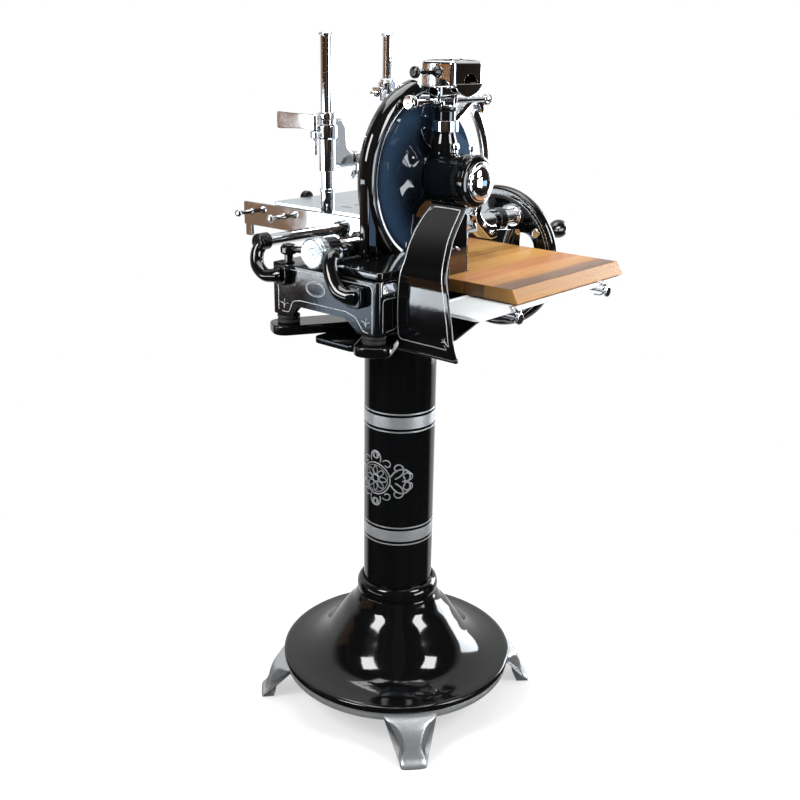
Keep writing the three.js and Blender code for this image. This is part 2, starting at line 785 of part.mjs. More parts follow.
// Bracket that stands on the base and carries the blade, with the pillar for the sharpener
function bladeBracket() {
  const bracketBottom = baseTop + gap;
  const plate = slab([
    [-196, -122], [stepX - 3, -122], [stepX - 3, stepY + 3], [innerStepX - 3, stepY + 3],
    [innerStepX - 3, -24], [-3, -24], [-3, guardBack], [-178, guardBack], [-178, -30], [-196, -34],
  ], bracketFootTop - bracketBottom).translate(0, 0, bracketBottom);
  const upright = rod('z', bracketFootTop - 1, bladeZ - 20, bladeX, lineShaftY, bracketColumnRadius, slim);
  const web = sideSlab([
    [-20, bracketFootTop - 1], [bladeX, bracketFootTop - 1], [bladeX, bladeZ - 20], [40, bladeZ - 30],
    [20, bracketFootTop + 53], [0, bracketFootTop + 15],
  ], lineShaftY - 5, lineShaftY + 5);
  const housing = alongY(turned([
    [0, housingFront], [housingRadius - 4, housingFront], [housingRadius, housingFront + 4],
    [housingRadius, housingBack - 8], [housingRadius - 6, housingBack], [0, housingBack],
  ], middling)).translate(bladeX, 0, bladeZ);
  const pillar = rod('z', bladeZ + housingRadius - 5, pillarTop, pillarX, pillarY, pillarRadius, slim);
  const body = join(plate, upright, web, housing, pillar);
  const shaftBore = bore('z', bracketBottom - 1, bladeZ, bladeX, lineShaftY, lineShaftRadius + gap, slim);
  const crownRoom = rod('z', caveFloor, bladeZ, bladeX, lineShaftY, crownCave, medium);
  const pinionRoom = rod('y', lineShaftY - 22, -40, bladeX, bladeZ, 12.5, slim);
  const hole = bladeShaftRadius + gap;
  const bladeBore = bore('y', housingFront - 1, housingBack + 1, bladeX, bladeZ, hole, slim);
  return cut(body, shaftBore, crownRoom, pinionRoom, bladeBore);
}

function hubDome() {
  const flange = 5;
  const rise = domeHeight - flange;
  const dome = Array.from({ length: 6 }, (_, i) => {
    const angle = i * 15 * deg;
    return [domeRadius * 0.94 * Math.cos(angle), flange + rise * Math.sin(angle)];
  });
  const cap = turned([
    [0, 0], [domeRadius, 0], [domeRadius, flange - 1], [domeRadius - 1, flange], ...dome, [0, domeHeight],
  ], middling);
  return cap.rotateX(Math.PI / 2).translate(bladeX, housingFront - gap, bladeZ);
}

// Guard: a shallow dish in front of the blade, and round its left half a rolled rim that stands on a leg
function guardShell() {
  const front = [
    [guardRadius, guardBack], [guardRadius, -4], [guardRadius - 2.5, -12], [guardRadius - 8, -18.5],
    [guardRadius - 16, guardFront - 0.5], [guardRadius - 22, guardFront], [guardInner + 2, -17],
    [guardInner, -12], [141, -8], [dishRadius, -6.5], [110, -5.5], [85, -7.5], [65, -13], [52, -20],
    [42, -25.5], [41, housingBack + gap],
  ];
  const back = [
    [bladeShaftRadius + 1, housingBack + gap], [bladeShaftRadius + 1, -20], [44, -20], [60, -10],
    [85, -3.5], [110, -1.5], [dishRadius, -2], [146, -4], [156, -8], [168, -8], [guardRadius - 6, 0],
    [guardRadius - 6, guardBack],
  ];
  const whole = alongY(turned([...front, ...back], wide)).translate(bladeX, 0, bladeZ);
  const open = sideSlab([
    ...arc(bladeX, bladeZ, guardRadius + 30, openFrom, openTo, 24),
    ...arc(bladeX, bladeZ, dishRadius, openTo, openFrom, 24),
  ], guardFront - 20, guardBack + 10);
  const notch = sideSlab([
    [-24, bladeZ + 129], [38, bladeZ + 81], [60, bladeZ + 81], [60, bladeZ + 213], [-24, bladeZ + 213],
  ], guardFront - 20, guardBack + 10);
  const legX = bladeX - guardRadius;
  const leg = sideSlab([
    [legX, bladeZ], [legX, bracketFootTop + gap], [legX + 34, bracketFootTop + gap],
    [legX + 32, bladeZ - 77], [legX + 28, bladeZ - 37], [legX + 24, bladeZ],
  ], guardFront + 7, guardBack);
  const below = block(-200, 260, -60, 60, 800, bracketFootTop + gap);
  return join(cut(whole, open, notch, below), leg);
}

// Bright guard ring round the cutting side, with its collar on the pillar and its foot on the catch plate
function guardRing() {
  const ring = sideSlab([
    ...arc(bladeX, bladeZ, ringOuter, ringFrom, ringTo, 20),
    ...arc(bladeX, bladeZ, ringInner, ringTo, ringFrom, 20),
  ], ringFront, ringFront + ringThick);
  const z = bladeZ + 85;
  const arm = sideSlab([
    [pillarX + 21, z], [104, z + 2], [128, z + 14], [168, z + 42], [186, z + 44], [194, z + 28],
    [206, z + 24], [204, z + 44], [190, z + 60], [176, z + 62], [160, z + 54], [120, z + 24],
    [100, z + 16], [pillarX + 21, z + 16],
  ], -27, ringFront + 4);
  const collar = rod('z', z - 2, z + 18, pillarX, pillarY, pillarRadius + 6, medium);
  const hole = bore('z', z - 12, z + 28, pillarX, pillarY, pillarRadius + gap, medium);
  const lug = block(pillarX + 18, pillarX + 34, pillarY - 6, ringFront, z, z + 16);
  const footBack = catchPlateY - gap;
  const low = catchPlateTop - 17;
  const rise = bladeZ + ((ringOuter + ringInner) / 2) * Math.sin(ringFrom * deg) - low;
  const footLine = (points, steps) => flowing(points.map(([x, share]) => [x, low + share * rise]), steps);
  const footShape = footLine([[222, 1.16], [228, 0.88], [244, 0.63], [262, 0.49], [280, 0.456]], 10);
  const footUnder = footLine([
    [281, 0.035], [262, 0], [246, 0.175], [228, 0.42], [212, 0.67], [204, 0.98],
  ], thin);
  const footBody = sideSlab([...footShape, ...footUnder], ringFront, footBack);
  return join(ring, join(cut(join(collar, lug), hole), arm), footBody);
}

function blade() {
  const y0 = bladeBack - bladeThick - 1;
  const profile = [
    [bladeShaftRadius + gap, y0], [bladeRadius - 14, y0], [bladeRadius, bladeBack - 1.2],
    [bladeRadius, bladeBack - 0.8], [bladeRadius - 16, bladeBack], [60, bladeBack],
    [bladeShaftRadius + gap, bladeBack],
  ];
  return alongY(turned(profile, wide)).translate(bladeX, 0, bladeZ);
}

function bladeShaft() {
  const pinion = bevelGear(pinionTeeth, crownTeeth, crownModule, 0.5);
  const tip = [bladeX, lineShaftY, bladeZ];
  const teeth = seatGear(pinion.geometry, tip, [0, -1, 0], [0, 0, -1]);
  const shaft = rod('y', housingFront + 4, bladeBack + 7, bladeX, bladeZ, bladeShaftRadius, slim);
  const flange = rod('y', bladeBack + gap, bladeBack + 5, bladeX, bladeZ, 22, slim);
  return join(teeth, shaft, flange);
}

// Upright shaft with a mitre gear below and the crown gear above
function uprightShaft() {
  const low = bevelGear(mitreTeeth, mitreTeeth, mitreModule, 0.5);
  const high = bevelGear(crownTeeth, pinionTeeth, crownModule, 0);
  const lowTip = [bladeX, lineShaftY, flyZ];
  const highTip = [bladeX, lineShaftY, bladeZ];
  const z0 = flyZ + low.front + 0.5;
  const z1 = bladeZ - high.front - 0.5;
  return join(
    seatGear(low.geometry, lowTip, [0, 0, 1], [0, 1, 0]),
    seatGear(high.geometry, highTip, [0, 0, -1], [0, -1, 0]),
    rod('z', z0, z1, bladeX, lineShaftY, lineShaftRadius, slim),
  );
}

// Cross shaft with the pinion on the flywheel's gear and the lower mitre gear
function crossShaft() {
  const pinion = bevelGear(crossTeeth, driveTeeth, driveModule, 0.5);
  const mitre = bevelGear(mitreTeeth, mitreTeeth, mitreModule, 0);
  return join(
    seatGear(pinion.geometry, [bladeX, flyY, flyZ], [0, -1, 0], [1, 0, 0]),
    seatGear(mitre.geometry, [bladeX, lineShaftY, flyZ], [0, 1, 0], [0, 0, 1]),
    rod('y', lineShaftY + mitre.front + 0.5, flyY - pinion.front - 0.5, bladeX, flyZ, lineShaftRadius, slim),
  );
}

function driveGear() {
  const gear = bevelGear(driveTeeth, crossTeeth, driveModule, 0);
  const teeth = seatGear(gear.geometry, [bladeX, flyY, flyZ], [1, 0, 0], [0, -1, 0]);
  const hub = rod('x', bladeX + gear.back - 1, bladeX + gear.back + 14, flyY, flyZ, 19, slim);
  const hole = bore('x', bladeX, bladeX + gear.back + 20, flyY, flyZ, flyShaftRadius + gap, slim);
  return cut(join(teeth, hub), hole);
}

// Sharpener
function sharpenerHead() {
  const bottom = pillarTop + gap;
  const neck = block(pillarX - 18, pillarX + 18, tiltY - 14, tiltY + 6, bottom, tiltZ);
  const barrel = rod('x', pillarX - 20, pillarX + 20, tiltY, tiltZ, 9, slim);
  const flange = rod('z', bottom, bottom + 3, pillarX, pillarY, pillarRadius - 1, slim);
  const hole = bore('x', 0, 140, tiltY, tiltZ, tiltPinRadius + gap, slim);
  return cut(join(neck, barrel, flange), hole);
}

function sharpenerFrame() {
  const eye = 9;
  const inner = 20 + gap;
  const cheeks = [pillarX - inner - eye, pillarX + inner].flatMap((x) => [
    block(x, x + eye, tiltY - eye, tiltY + eye, tiltZ - 6, coverBottom - 2),
    rod('x', x, x + eye, tiltY, tiltZ, eye, slim),
  ]);
  const bed = block(
    pillarX - inner - eye, coverRight - 8, coverFront + 6, coverBack - 6, tiltZ + 11, coverBottom - gap,
  );
  const stoneLugs = [-30, 9].map((y) => (
    block(stoneX - 6, stoneX + 6, y, y + 4, coverBottom - 2, coverBottom + stoneRise + 8)
  ));
  const ledge = block(coverLeft - 6, coverRight, coverFront, coverBack, coverBottom - 4, coverBottom - gap);
  const hole = bore('x', 0, 140, tiltY, tiltZ, tiltPinRadius + gap, slim);
  const stoneBore = bore('y', -40, 20, stoneX, coverBottom + stoneRise, stonePinRadius + gap, thin);
  return cut(join(...cheeks, bed, ledge, ...stoneLugs), hole, stoneBore);
}

function sharpenerSpindle() {
  const spindle = rod('x', spindleLeft, spindleRight, tiltY, tiltZ, tiltPinRadius, thin);
  const knob = turned([
    [0, 0], [11, 0], [13, 2], [13, 14], [11, 16], [0, 16],
  ], slim);
  return join(spindle, alongX(knob).translate(spindleLeft - 15, tiltY, tiltZ));
}

function spindleNut() {
  const knob = turned([[0, 0], [6, 0], [6, 5], [10, 6], [11, 8], [11, 15], [9, 17], [0, 17]], slim);
  return alongX(knob).translate(spindleRight + gap, tiltY, tiltZ);
}

function sharpenerCover() {
  const height = coverTop - coverBottom;
  const outer = slab(roundRect(coverLeft, coverRight, coverFront, coverBack, 9), height - 5);
  const lid = slab(roundRect(coverLeft + 4, coverRight - 4, coverFront + 4, coverBack - 4, 7), height);
  const inner = slab(roundRect(
    coverLeft + coverWall, coverRight - coverWall, coverFront + coverWall, coverBack - coverWall, 6,
  ), height - coverWall - 3);
  const archX = coverLeft + 52;
  const arch = rod('y', coverFront - 1, coverFront + coverWall + 1, archX, 0, 20, slim);
  const studs = [0, 1].map((i) => rod('z', height - 1, height + 4, 92 + i * 32, -30, 3.5, thin));
  const knobHole = bore('x', coverLeft - 1, coverLeft + coverWall + 1, 0, stoneKnobRise, 4.5 + gap, thin);
  const shell = cut(join(outer, lid, ...studs), inner.translate(0, 0, -1), arch, knobHole);
  return shell.translate(0, 0, coverBottom);
}

function stoneKnob() {
  const profile = [
    [0, 0], [8, 0], [11, 3], [11, 9], [7, 15], [5, 22], [5, 34], [4.5, 36], [4.5, 46], [0, 46],
  ];
  return alongX(turned(profile, slim)).translate(coverLeft - 38, 0, coverBottom + stoneKnobRise);
}

// A stone wheel on its own short spindle
function stone(y0, y1) {
  const z = coverBottom + stoneRise;
  const wheel = rod('y', y0, y0 + stoneWidth, stoneX, z, stoneRadius, medium);
  return join(wheel, rod('y', y0 - 3, y1, stoneX, z, stonePinRadius, thin));
}

function oilCup() {
  return turned([
    [0, 0], [4.5, 0], [4.5, 5], [6.5, 6], [6.5, 14], [5.5, 16], [3, 18], [0, 18.5],
  ], thin);
}

// Flywheel
function flywheel() {
  const y = flyWidth / 2;
  const inner = flyRadius - flyRimDepth;
  const crown = 9;
  const hole = flyShaftRadius + gap;
  const rim = Array.from({ length: 8 }, (_, i) => {
    const angle = (-90 + (i * 180) / 7) * deg;
    return [flyRadius - crown + crown * Math.cos(angle), y * Math.sin(angle)];
  });
  const side = [
    [inner + 5, y - 1], [inner, y - 5], [inner - 2, flyWebHalf], [flyHubRadius, flyWebHalf],
    [flyHubRadius - 4, y + 4], [hole, y + 4],
  ];
  const profile = [...rim, ...side, ...side.map(([r, h]) => [r, -h]).reverse()];
  const wheel = turned(profile, wide);
  const holes = Array.from({ length: flyHoleCount }, (_, i) => {
    const angle = (flyHoleTurn + (i * 360) / flyHoleCount) * deg;
    const u = flyHoleCircle * Math.cos(angle);
    const v = flyHoleCircle * Math.sin(angle);
    return rod('z', -20, 20, u, v, flyHoleRadius, medium);
  });
  const pinBoss = rod('z', -pinBossHalf, pinBossHalf, crankY - flyY, crankZ - flyZ, 12, slim);
  const pinHole = bore('z', -20, 20, crankY - flyY, crankZ - flyZ, crankPinRadius + gap, thin);
  const geometry = cut(join(cut(wheel, ...holes), pinBoss), pinHole);
  const turn = new THREE.Matrix4().set(0, 0, 1, flyNear + y, 1, 0, 0, flyY, 0, 1, 0, flyZ, 0, 0, 0, 1);
  return geometry.applyMatrix4(turn);
}

function flywheelShaft() {
  const far = flyNear + flyWidth;
  const start = bladeX + crossTeeth * driveModule * 0.5 * (1 - faceShare) + 1;
  const nut = turned([[0, 0], [16, 0], [16, 4], [11, 5], [11, 12], [8, 14], [0, 14]], slim);
  return join(
    rod('x', start, far + 6, flyY, flyZ, flyShaftRadius, slim),
    alongX(nut).translate(far + 4 + gap, flyY, flyZ),
  );
}

function flywheelBearing() {
  const x0 = baseRight + gap;
  const inner = flyShaftRadius + gap;
  const profile = [
    [inner, 0], [36, 0], [36, 10], [bearingRadius, 20], [bearingRadius - 4, bearingLength - 52],
    [bearingRadius, bearingLength - 12], [bearingRadius, bearingLength], [inner, bearingLength],
  ];
  const body = alongX(turned(profile, medium)).translate(x0, flyY, flyZ);
  const relief = block(x0 - 1, x0 + 30, flyY - 40, flyY + 40, flyZ - 50, baseFoot);
  const upper = block(x0 - 1, x0 + 22, flyY - 60, flyY + 60, 895.5, 940);
  return cut(body, relief, upper);
}

function handlePin() {
  const wheelMiddle = flyNear + flyWidth / 2;
  const headX = wheelMiddle - pinBossHalf - 5 - gap;
  const head = alongX(turned([[0, 0], [9, 0], [10, 2], [10, 5], [0, 5]], slim));
  const shank = rod('x', headX + 1, gripStart + gripBoreDepth - 1, crankY, crankZ, crankPinRadius, thin);
  const shoulder = rod('x', wheelMiddle + pinBossHalf + gap, gripStart - gap, crankY, crankZ, 9, slim);
  return join(head.translate(headX, crankY, crankZ), shank, shoulder);
}

function handleGrip() {
  const hollow = (crankPinRadius + gap) / Math.cos(Math.PI / slim);
  const profile = [
    [hollow, 0], [9, 0], [11, 2], [9, 12], [9, 26], [12, 36], [17, 44], [gripRadius, 55],
    [gripRadius, 64], [17, 73], [10, 79], [0, gripLength], [0, gripBoreDepth], [hollow, gripBoreDepth],
  ];
  return alongX(turned(profile, slim)).translate(gripStart, crankY, crankZ);
}

// Curved cover in front of the slice side, held to the base by a rib
const deflectorCurve = [[-70, 1047], [-109, 1005], [-142, 950], [-158, 896], [-161, 858], [-150, 812]];

function deflectorOutline(near, far) {
  const line = flowing(deflectorCurve, 20);
  const shift = (offset) => line.map(([x, z], i) => {
    const [xa, za] = line[Math.max(i - 1, 0)];
    const [xb, zb] = line[Math.min(i + 1, line.length - 1)];
    const length = Math.hypot(xb - xa, zb - za);
    return [x - ((zb - za) / length) * offset, z + ((xb - xa) / length) * offset];
  });
  return [...shift(near), ...shift(far).reverse()];
}

function deflector() {
  const sheet = sideSlab(deflectorOutline(0, deflectorThick), deflectorOuterBottom - 4, deflectorInner);
  const trim = endSlab([
    [deflectorOuterTop, 1060], [deflectorOuterTop - 6, 980], [deflectorOuterTop - 24, 900],
    [deflectorOuterBottom, 840], [deflectorOuterBottom, 800], [-300, 800], [-300, 1060],
  ], -200, -40);
  return cut(sheet, trim);
}

// The rib follows the curve of the sheet's inner face
function deflectorRib() {
  const inner = deflectorOutline(deflectorThick + gap, deflectorThick + 8).slice(0, 21);
  const outline = [...inner.slice(5, 17), [-96, 872], [-70, 940]];
  return sideSlab(outline, deflectorInner - 12, baseFront - gap);
}

// Board and tray
function board() {
  const z0 = boardTop - boardThick;
  const edge = [
    [boardFront, z0], [boardFront + boardBevel, boardTop], [boardBack, boardTop], [boardBack, z0],
  ];
  const plank = endSlab(edge, boardLeft, boardRight);
  const notch = block(boardLeft - 1, boardNotchX, boardNotchY, boardBack + 1, z0 - 1, boardTop + 1);
  return cut(plank, notch);
}

function tray() {
  const z0 = trayTop - trayThick;
  const sheet = slab(roundRect(trayLeft, trayRight, trayFront, trayBack, 16), trayThick);
  const notch = block(trayLeft - 1, boardNotchX, baseFront - gap, trayBack + 1, z0 - 1, trayTop + 1);
  return cut(sheet.translate(0, 0, z0), notch);
}

// Bracket under the tray: two gussets from the base, a rail along the tray and a post on the head's free arm
function trayBracket() {
  const top = trayTop - trayThick - gap;
  const gusset = (x) => endSlab([
    [baseFront - gap, top], [trayFront + 20, top], [trayFront + 20, top - 8],
    [baseFront - gap, baseFoot + 6],
  ], x, x + 8);
  const rail = block(-72, 312, trayRailBack - trayRailWidth, trayRailBack, top - 14, top);
  const screwHoles = clampX.map((x) => (
    bore('y', trayFront, trayFront + 60, x, clampScrewZ, clampScrewRadius + gap, thin)
  ));
  const cross = block(padX - 12, padX + 12, trayFront + 30, -70, top - 8, top);
  const post = rod('z', armTop + gap, top - 1, padX, padFrontY, 14, slim);
  const foot = rod('z', armTop + gap, armTop + 6, padX, padFrontY, 24, slim);
  return cut(join(gusset(-72), gusset(14), rail, cross, post, foot), ...screwHoles);
}

// A bent strap that hooks over the tray's edge, with a lug for its thumb screw
function boardClamp(x) {
  const y = trayFront - gap;
  const strap = endSlab([
    [y, trayTop + 5], [y - 3, trayTop + 3], [y - 5, trayTop - 2], [y - 5, trayTop - 24],
    [y + 14, trayTop - 24], [y + 14, trayTop - 20], [y - 1, trayTop - 20], [y - 1, trayTop - 9],
    [y, trayTop - 8],
    [y, trayTop + gap], [y + 6, trayTop + gap], [y + 6, trayTop + 5],
  ], x - 7, x + 7);
  const hole = bore('y', y - 20, y + 1, x, clampScrewZ, clampScrewRadius + gap, thin);
  return cut(strap, hole);
}

function thumbScrew(x) {
  const y = trayFront - gap;
  const z = clampScrewZ;
  const knob = turned([[0, 0], [9, 0], [10, 1], [10, 5], [8, 6], [0, 6]], slim).rotateX(Math.PI / 2);
  const headStart = trayRailBack + gap;
  return join(
    rod('y', y - 12, headStart + 4, x, z, clampScrewRadius, thin),
    knob.translate(x, y - 11, z),
    rod('y', headStart, headStart + 4, x, z, clampScrewRadius + 2.5, thin),
  );
}

function catchPlate() {
  const plate = sideSlab([
    [baseRight + gap, catchPlateBottom], [catchPlateRight, catchPlateBottom], [catchPlateRight, 930],
    [386, 938], [300, catchPlateTop - 4], [246, catchPlateTop], [baseRight + gap, catchPlateTop],
  ], catchPlateY, catchPlateY + catchPlateThick);
  const flange = block(
    baseRight + gap, baseRight + 4, catchPlateY, innerStepY + 26, catchPlateBottom + 4, baseTop - 6,
  );
  return join(plate, flange);
}

// Upright plate beside the board that closes the drive column
function sidePlate() {
  const y1 = stepY - gap;
  return sideSlab([
    [36, boardTop + gap], [112, boardTop + gap], [109, bladeZ - 67], [36, bladeZ - 61],
  ], y1 - 3, y1);
}

// Hangs a named piece in the scene with one of the finishes
function place(name, geometry, material, parent = machine) {
  const mesh = new THREE.Mesh(geometry, finish[material]);
  mesh.name = name;
  parent.add(mesh);
  return mesh;
}

place('foot_ring', footRing(), 'silverPaint', slicer);
place('pedestal_bell', pedestalBell(), 'enamel', slicer);
place('column', column(), 'enamel', slicer);
machine.position.z = columnTop - headSeat;
place('column_head', columnHead(), 'enamel');
place('base_casting', baseCasting(), 'enamel');
[[-padX, padFrontY], [-padX, padBackY], [padX, padBackY]].forEach(([x, y], i) => {
  place(`rest_pad_${i + 1}`, pad(), 'plastic').position.set(x, y, armTop + gap);
});

place('guide_tube', guideTube(), 'chrome');
place('slice_dial', sliceDial(), 'chrome');
place('rear_rail', rod('x', railLeft, railRight + 20, railY, railZ, railRadius, slim), 'chrome');
place('tube_arm', tubeArm(), 'enamel');
place('rail_arm', railArm(), 'enamel');
place('right_arm', rightArm(), 'enamel');
place('rail_stay', railStay(), 'enamel');

place('carriage_frame', carriageFrame(), 'brushed');
place('carriage_end_plate', carriageEndPlate(), 'chrome');
place('meat_table', meatTable(), 'brushed');
place('feed_screw', feedScrew(), 'darkSteel');
place('left_post', meatPost(postRadius[0], postX[0]), 'chrome');
place('right_post', meatPost(postRadius[1], postX[1]), 'chrome');
place('left_clamp', leftClamp(), 'chrome');
place('clamp_lever', clampLever(), 'chrome');
place('wing_screw', wingScrew(), 'chrome');
place('right_clamp', rightClamp(), 'chrome');

place('blade_bracket', bladeBracket(), 'enamel');
place('hub_dome', hubDome(), 'chrome');
place('guard_shell', guardShell(), 'enamel');
place('guard_ring', guardRing(), 'chrome');
place('blade', blade(), 'brushed');
place('blade_shaft', bladeShaft(), 'darkSteel');
place('upright_shaft', uprightShaft(), 'darkSteel');
place('cross_shaft', crossShaft(), 'darkSteel');
place('drive_gear', driveGear(), 'darkSteel');

place('sharpener_head', sharpenerHead(), 'chrome');
place('sharpener_frame', sharpenerFrame(), 'brushed');
place('sharpener_spindle', sharpenerSpindle(), 'chrome');
place('spindle_nut', spindleNut(), 'chrome');
place('sharpener_cover', sharpenerCover(), 'chrome');
place('stone_knob', stoneKnob(), 'plastic');
place('grinding_stone', stone(-24, -8), 'stone');
place('honing_stone', stone(-3, 12.7), 'stone');
[-71, -108].forEach((y, i) => {
  place(`oil_cup_${i + 1}`, oilCup(), 'chrome').position.set(bladeX, y, bladeZ + housingRadius + gap);
});

place('flywheel', flywheel(), 'enamel');
place('flywheel_shaft', flywheelShaft(), 'darkSteel');
place('flywheel_bearing', flywheelBearing(), 'enamel');
place('handle_pin', handlePin(), 'chrome');
place('handle_grip', handleGrip(), 'plastic');

place('deflector', deflector(), 'enamel');
place('deflector_rib', deflectorRib(), 'enamel');
place('board', board(), 'wood');
place('tray', tray(), 'tray');
place('tray_bracket', trayBracket(), 'enamel');
clampX.forEach((x, i) => {
  place(`board_clamp_${i + 1}`, boardClamp(x), 'chrome');
  place(`thumb_screw_${i + 1}`, thumbScrew(x), 'chrome');
});
place('catch_plate', catchPlate(), 'chrome');
place('side_plate', sidePlate(), 'darkSteel');

// The whole stands with its footprint's middle at the origin
slicer.add(machine);
const extent = new THREE.Box3().setFromObject(slicer, true);
const middle = extent.getCenter(new THREE.Vector3());
for (const part of slicer.children) {
  part.position.x -= middle.x;
  part.position.y -= middle.y;
  part.position.z -= extent.min.z;
}

export default slicer;
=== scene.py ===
# Hand cranked meat slicer on its pedestal: looks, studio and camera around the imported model.
import math

import bpy
import numpy as np
from mathutils import Matrix, Vector
from mathutils.geometry import tessellate_polygon


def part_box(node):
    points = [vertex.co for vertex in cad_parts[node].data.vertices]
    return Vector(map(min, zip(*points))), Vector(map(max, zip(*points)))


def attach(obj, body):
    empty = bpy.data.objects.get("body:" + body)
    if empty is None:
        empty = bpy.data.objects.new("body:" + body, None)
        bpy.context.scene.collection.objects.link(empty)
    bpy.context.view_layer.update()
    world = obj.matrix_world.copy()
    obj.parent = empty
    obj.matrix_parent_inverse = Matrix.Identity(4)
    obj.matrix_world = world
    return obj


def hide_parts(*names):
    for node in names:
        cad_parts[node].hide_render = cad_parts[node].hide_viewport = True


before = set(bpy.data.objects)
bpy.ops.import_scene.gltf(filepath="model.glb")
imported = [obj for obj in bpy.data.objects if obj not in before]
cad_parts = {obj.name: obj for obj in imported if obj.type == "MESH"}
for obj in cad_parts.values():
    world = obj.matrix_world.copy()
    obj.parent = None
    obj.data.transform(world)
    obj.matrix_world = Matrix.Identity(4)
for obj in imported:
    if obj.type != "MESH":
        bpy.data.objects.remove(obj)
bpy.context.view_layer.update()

# Place in the frame
# Every size below is in millimetres from the column's axis at floor level, with X along the
# carriage's travel, Y away from the operator and Z up, as the machine's own drawing has it.
column_low, column_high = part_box("column")
COLUMN_AXIS = (np.array(column_low) + np.array(column_high)) / 2 * [1, 1, 0]


def metres(points):
    """Points in millimetres from the column's axis, as metres in the frame."""
    return np.asarray(points, float) / 1000 + COLUMN_AXIS


# Camera
# A camera of 36 mm sensor at eye height, left of the operator's place, looking down at the machine
# and turned a little about its own axis.
LENS = 46.78
SENSOR = 36.0
EYE = (-1458.8, -1267.7, 1310.9)
HEADING = math.radians(40.99)
PITCH = math.radians(18.94)
ROLL = math.radians(0.83)

camera_data = bpy.data.cameras.new("camera")
camera_data.lens = LENS
camera_data.sensor_width = SENSOR
camera_data.clip_end = 50
camera = bpy.data.objects.new("camera", camera_data)
bpy.context.collection.objects.link(camera)
bpy.context.scene.camera = camera
level = Vector((math.cos(HEADING), math.sin(HEADING), 0))
forward = level * math.cos(PITCH) + Vector((0, 0, -math.sin(PITCH)))
flat_right = forward.cross(Vector((0, 0, 1))).normalized()
flat_up = flat_right.cross(forward)
right = flat_right * math.cos(ROLL) + flat_up * math.sin(ROLL)
up = right.cross(forward)
turn = Matrix((right, up, -forward)).transposed()
camera.matrix_world = Matrix.Translation(metres(EYE)) @ turn.to_4x4()
bpy.context.scene.view_settings.view_transform = "Standard"

# Studio
# A white sweep behind the machine and a dim brown room behind the camera. Mirror rays find bright
# panes low at both sides, so that black enamel stays black and chrome shows white, blue and brown.
def add_node(tree, kind, inputs=(), **settings):
    """Adds a node, makes its settings, and sets or links its inputs by name or number."""
    made = tree.nodes.new(kind)
    for key, value in settings.items():
        setattr(made, key, value)
    for key, value in dict(inputs).items():
        socket = made.inputs[key]
        if isinstance(value, bpy.types.NodeSocket):
            tree.links.new(value, socket)
        else:
            socket.default_value = value
    return made


def colour(code):
    """An sRGB hex value as linear red, green, blue and alpha."""
    srgb = np.array([int(code[i:i + 2], 16) for i in (0, 2, 4)]) / 255
    linear = np.where(srgb <= 0.04045, srgb / 12.92, ((srgb + 0.055) / 1.055) ** 2.4)
    return (*linear.tolist(), 1.0)


def room(tree, heading, clutter_at, scale, dark_part, shades, sweep_part):
    """The light of a dim room with things in it, a cloudy mix of two shades, and of the white sweep
    ahead of the camera."""
    clutter = add_node(tree, "ShaderNodeTexNoise", {"Vector": clutter_at, "Scale": scale, "Detail": 4.0})
    share = add_node(tree, "ShaderNodeMapRange", {
        "Value": clutter.outputs["Fac"], "From Min": dark_part[0], "From Max": dark_part[1],
    }, interpolation_type="SMOOTHSTEP")
    dim = add_node(tree, "ShaderNodeMix", {
        0: share.outputs["Result"], 6: colour(shades[0]), 7: colour(shades[1]),
    }, data_type="RGBA")
    aim = (math.cos(math.radians(VIEW_AZIMUTH)), math.sin(math.radians(VIEW_AZIMUTH)), 0)
    facing = add_node(tree, "ShaderNodeVectorMath", {0: heading, 1: aim}, operation="DOT_PRODUCT")
    ahead = add_node(tree, "ShaderNodeMapRange", {
        "Value": facing.outputs["Value"], "From Min": sweep_part[0], "From Max": sweep_part[1],
    }, interpolation_type="SMOOTHSTEP")
    return add_node(tree, "ShaderNodeMix", {
        0: ahead.outputs["Result"], 6: dim.outputs[2], 7: (SWEEP, SWEEP, SWEEP, 1.0),
    }, data_type="RGBA").outputs[2]


def lit(tree, light, heading, azimuth, half_angle, reach, tint, strength):
    """Adds to a light a pane of one tint that spans an angle to both sides of an azimuth, where the
    reach value is 1."""
    aim = (math.cos(math.radians(azimuth)), math.sin(math.radians(azimuth)), 0)
    facing = add_node(tree, "ShaderNodeVectorMath", {0: heading, 1: aim}, operation="DOT_PRODUCT")
    inside = add_node(tree, "ShaderNodeMapRange", {
        "Value": facing.outputs["Value"], "From Min": math.cos(math.radians(half_angle + PANE_BLUR)),
        "From Max": math.cos(math.radians(half_angle)),
    }, interpolation_type="SMOOTHSTEP")
    shown = add_node(tree, "ShaderNodeMath", {0: inside.outputs["Result"], 1: reach}, operation="MULTIPLY")
    glow = tuple(np.array(colour(tint)[:3]) * strength)
    return add_node(tree, "ShaderNodeVectorMath", {
        0: shown.outputs[0], 1: glow, 2: light,
    }, operation="MULTIPLY_ADD").outputs[0]


